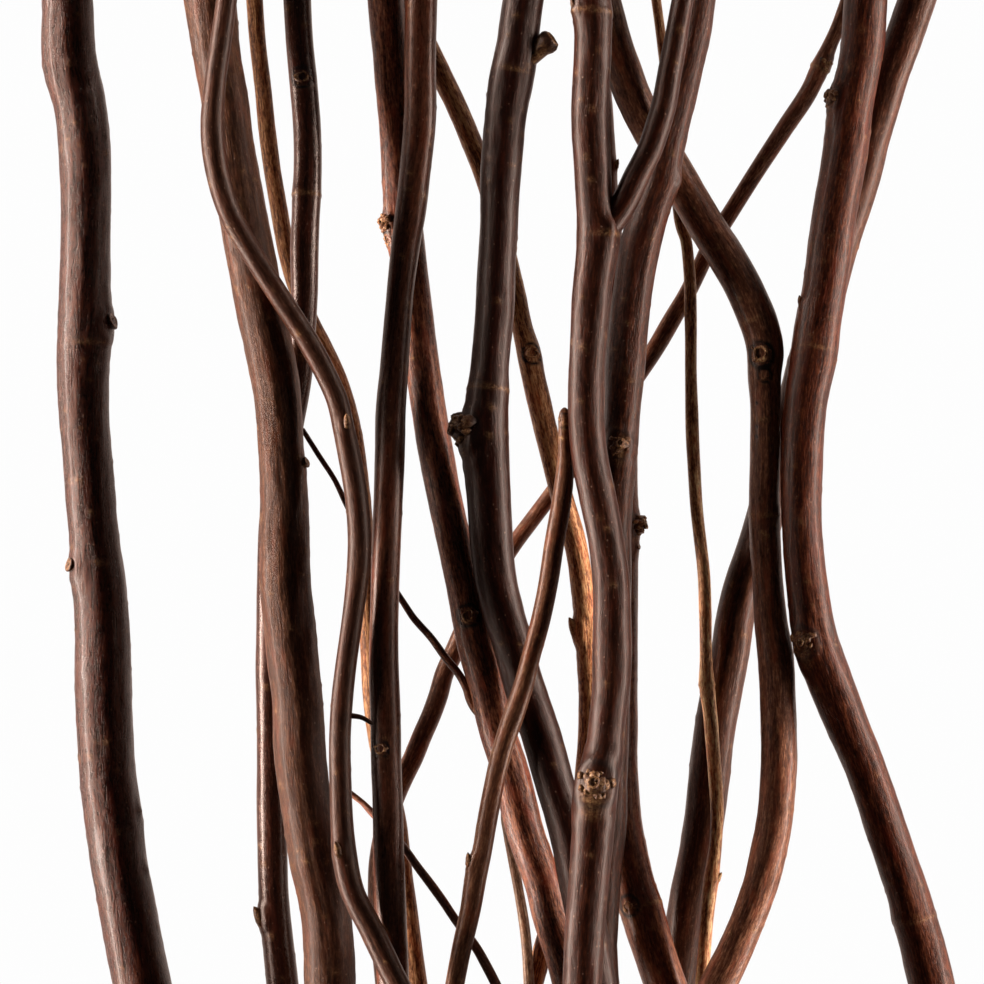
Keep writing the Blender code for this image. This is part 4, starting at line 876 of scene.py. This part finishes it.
def bark_material(name, number):
    """Dark bark: long streaks, paler fibres and pores, end grain where the stem is cut, and painted
    shade in the creases of its marks. Its colours carry the stem's tone, which is partly painted
    light.
    """
    palette, gloss, streaks, relief = STYLES[name]
    # The palettes times the stem's tone, which is partly painted light.
    deep, mid, raised = [scaled(colour, TONES_AND_PAINTED_LIGHT[name]) for colour in PALETTES[palette]]
    material = bpy.data.materials.new(name + "_bark")
    material.use_nodes = True
    tree = material.node_tree
    tree.nodes.clear()
    grain, tan, cut = [node(tree, "Attribute", {}, attribute_name=label).outputs
                       for label in ("grain", "tan", "cut")]

    def mapped(stretch):
        return node(tree, "Mapping", {
            "Location": (number * 7.3, number * 3.1, number * 11.7), "Scale": (1, 1, stretch),
            "Vector": grain["Vector"]}).outputs["Vector"]

    def noise(stretch, scale, detail, rough=0.6, distort=0.0):
        return node(tree, "TexNoise", {
            "Vector": mapped(stretch), "Scale": scale, "Detail": detail, "Roughness": rough,
            "Distortion": distort}).outputs["Fac"]

    def span(value, low, high, to_low=0.0, to_high=1.0):
        return node(tree, "MapRange", {
            "Value": value, "From Min": low, "From Max": high, "To Min": to_low,
            "To Max": to_high}).outputs["Result"]

    def mix(factor, a, b):
        return node(tree, "Mix", {"Factor": factor, "A": a, "B": b},
                    data_type="RGBA").outputs["Result"]

    def math_node(kind, a, b):
        return node(tree, "Math", {0: a, 1: b}, operation=kind).outputs["Value"]

    def weighted(*shares):
        total = 0.0
        for value, share in shares:
            total = math_node("ADD", total, math_node("MULTIPLY", value, share))
        return total

    streak = noise(0.09, 0.95, 5, 0.6, 0.4)
    fibre = noise(0.12, 3.2, 4, 0.7, 0.3)
    blotch = noise(0.3, 0.22, 3, 0.5)
    dust = noise(0.4, 2.6, 4, 0.7)
    both = weighted((streak, 0.27), (fibre, 0.45), (dust, 0.28))
    spread = 0.115 - 0.065 * streaks
    colour = ramp(tree, both, (0.5 - spread, deep), (0.5 + spread * 0.15, mid),
                  (0.5 + spread * 1.15, raised))
    # The streaks are stronger on some stretches than on others.
    flat = tuple(0.55 * m + 0.45 * d for m, d in zip(mid, deep))
    colour = mix(span(blotch, 0.35, 0.65, 0.15 + 0.35 * (1 - streaks), 0.55 * (1 - streaks)),
                 colour, flat)
    redder = tuple(v * k for v, k in zip(mid, (1.9, 1.15, 0.9)))
    colour = mix(span(noise(0.22, 0.6, 3), 0.52, 0.72, 0.0, 0.3 if palette == "tan" else 0.55),
                 colour, redder)
    pores = node(tree, "TexVoronoi", {"Scale": 0.75, "Vector": mapped(0.8)}).outputs["Distance"]
    dot = math_node("MULTIPLY", span(pores, 0.17, 0.07), span(dust, 0.45, 0.6))
    colour = mix(math_node("MULTIPLY", dot, 0.75), colour, PORE)
    # The scars are as much paler as the bark of their stem is, so they carry its painted light too.
    paler = (min(2.3, max(1.15, sum(TONES_AND_PAINTED_LIGHT[name]) / 3)),) * 3
    scar = ramp(tree, noise(1.0, 2.2, 4), *((at, scaled(stop, paler)) for at, stop in SCAR))
    colour = mix(math_node("MULTIPLY", tan["Fac"], span(dust, 0.3, 0.62, 0.35, 1.0)), colour, scar)
    # End grain: rings round the pith.
    wave = node(tree, "TexWave", {"Scale": 0.5, "Distortion": 1.2, "Vector": grain["Vector"]},
                wave_type="RINGS", rings_direction="Z")
    colour = mix(span(cut["Fac"], 0.3, 0.7), colour, ramp(tree, wave.outputs["Fac"], *END_GRAIN))
    # Painted shade: near black where the cut value is negative, in the creases and hollows round
    # knots, stubs, eyes and pits.
    colour = mix(span(cut["Fac"], -0.1, -0.6), colour, CREASE_SHADE_COLOUR)

    height = weighted((streak, 0.35), (fibre, 0.55), (dust, 0.45))
    bump = node(tree, "Bump", {"Strength": 0.6 + 0.4 * streaks,
                               "Distance": 0.00004 + relief * 0.0022, "Height": height})
    shader = node(tree, "BsdfPrincipled", {
        "Base Color": colour,
        "Roughness": span(both, 0.35, 0.65, 0.31 - 0.10 * gloss, 0.43 - 0.13 * gloss),
        "Specular IOR Level": 0.10 + 0.25 * gloss, "Specular Tint": (1.0, 0.74, 0.63),
        "Coat Weight": 0.13 * gloss, "Coat Roughness": 0.17, "Normal": bump.outputs["Normal"]})
    node(tree, "OutputMaterial", {"Surface": shader.outputs["BSDF"]})
    return material


# The scene.

def place_of_stretch(laid):
    """How far the routes' own frame lies from the part's frame, from the nodes' boxes."""
    shifts = []
    for name, runs in laid.items():
        p = np.concatenate(runs)
        thick = p[:, 3:] * (1, 0, 1)    # a stem's ends are square to Y
        low, high = (p[:, :3] - thick).min(axis=0), (p[:, :3] + thick).max(axis=0)
        shifts.append(np.array(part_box(name)).sum(axis=0) * 500 - (low + high) / 2)
    return np.median(shifts, axis=0)


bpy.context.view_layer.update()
LAID_OUT = lay_all()
SHIFT = place_of_stretch(LAID_OUT)

for number, (stem_name, stem_runs) in enumerate(LAID_OUT.items()):
    looks = dress(stem_name, stem_runs, np.random.default_rng(900 + number))
    piece = bpy.data.objects.new(stem_name + "_bark", looks.mesh(stem_name + "_bark", SHIFT))
    bpy.context.scene.collection.objects.link(piece)
    piece.data.materials.append(bark_material(stem_name, number))
    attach(piece, "root")
    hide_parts(stem_name)

# Floor: plain white that gives its own light, so it stays free of shadows. The sheen of the bark
# shows the warm lower half of the world in its place.
floor_mesh = bpy.data.meshes.new("floor")
floor_shape = bmesh.new()
bmesh.ops.create_grid(floor_shape, x_segments=1, y_segments=1, size=40)
floor_shape.to_mesh(floor_mesh)
floor_shape.free()
floor = bpy.data.objects.new("floor", floor_mesh)
floor.location.z = -0.0003
floor.visible_glossy = False
bpy.context.scene.collection.objects.link(floor)
white = bpy.data.materials.new("white_floor")
white.use_nodes = True
feed(white.node_tree, white.node_tree.nodes["Principled BSDF"], {
    "Base Color": (0.0, 0.0, 0.0), "Roughness": 0.9, "Specular IOR Level": 0.0,
    "Emission Color": (1, 1, 1), "Emission Strength": 0.985})
white.cycles.emission_sampling = "NONE"
floor_mesh.materials.append(white)

# World: pale and warm below and round the horizon, dark overhead.
world = bpy.data.worlds.new("studio")
bpy.context.scene.world = world
world.use_nodes = True
sky = world.node_tree
split = node(sky, "SeparateXYZ", {"Vector": node(sky, "TexCoord", {}).outputs["Generated"]})
feed(sky, sky.nodes["Background"], {"Strength": 0.9, "Color": ramp(
    sky, split.outputs["Z"], (0.03, (1.0, 0.78, 0.69)), (0.22, (0.035, 0.033, 0.032)))})

MIDDLE = Vector((SHIFT[0] / 1000, SHIFT[1] / 1000, 0.015))

# Low lights pick out the sides of the stems, the higher ones reach the stems between them.
# Each is a strip that faces the middle of the stretch: its place, its width and its power.
for label, spot, width, power in (
        ("left_low_light", (-0.85, 0.05, 0.055), 0.11, 36),
        ("left_high_light", (-0.85, 0.05, 0.21), 0.20, 10),
        ("right_low_light", (0.85, -0.05, 0.055), 0.11, 19),
        ("right_high_light", (0.85, -0.05, 0.21), 0.20, 6)):
    lamp = bpy.data.lights.new(label, "AREA")
    lamp.shape, lamp.size, lamp.size_y = "RECTANGLE", 1.3, width
    lamp.energy, lamp.color = power, (1.0, 0.89, 0.82)
    light = bpy.data.objects.new(label, lamp)
    light.location = MIDDLE + Vector(spot)
    light.rotation_euler = (-Vector(spot)).to_track_quat("-Z", "Y").to_euler()
    bpy.context.scene.collection.objects.link(light)

# Camera: straight down, as the stems are seen square on.
CAMERA_HEIGHT = 2.5
lens = bpy.data.cameras.new("camera")
lens.sensor_width = 36
lens.lens = 36 * (CAMERA_HEIGHT - 0.018) / (STRETCH / 1000)
lens.clip_end = 100
camera = bpy.data.objects.new("camera", lens)
camera.location = (MIDDLE.x, MIDDLE.y, CAMERA_HEIGHT)
bpy.context.scene.collection.objects.link(camera)
bpy.context.scene.camera = camera
bpy.context.scene.view_settings.view_transform = "Standard"
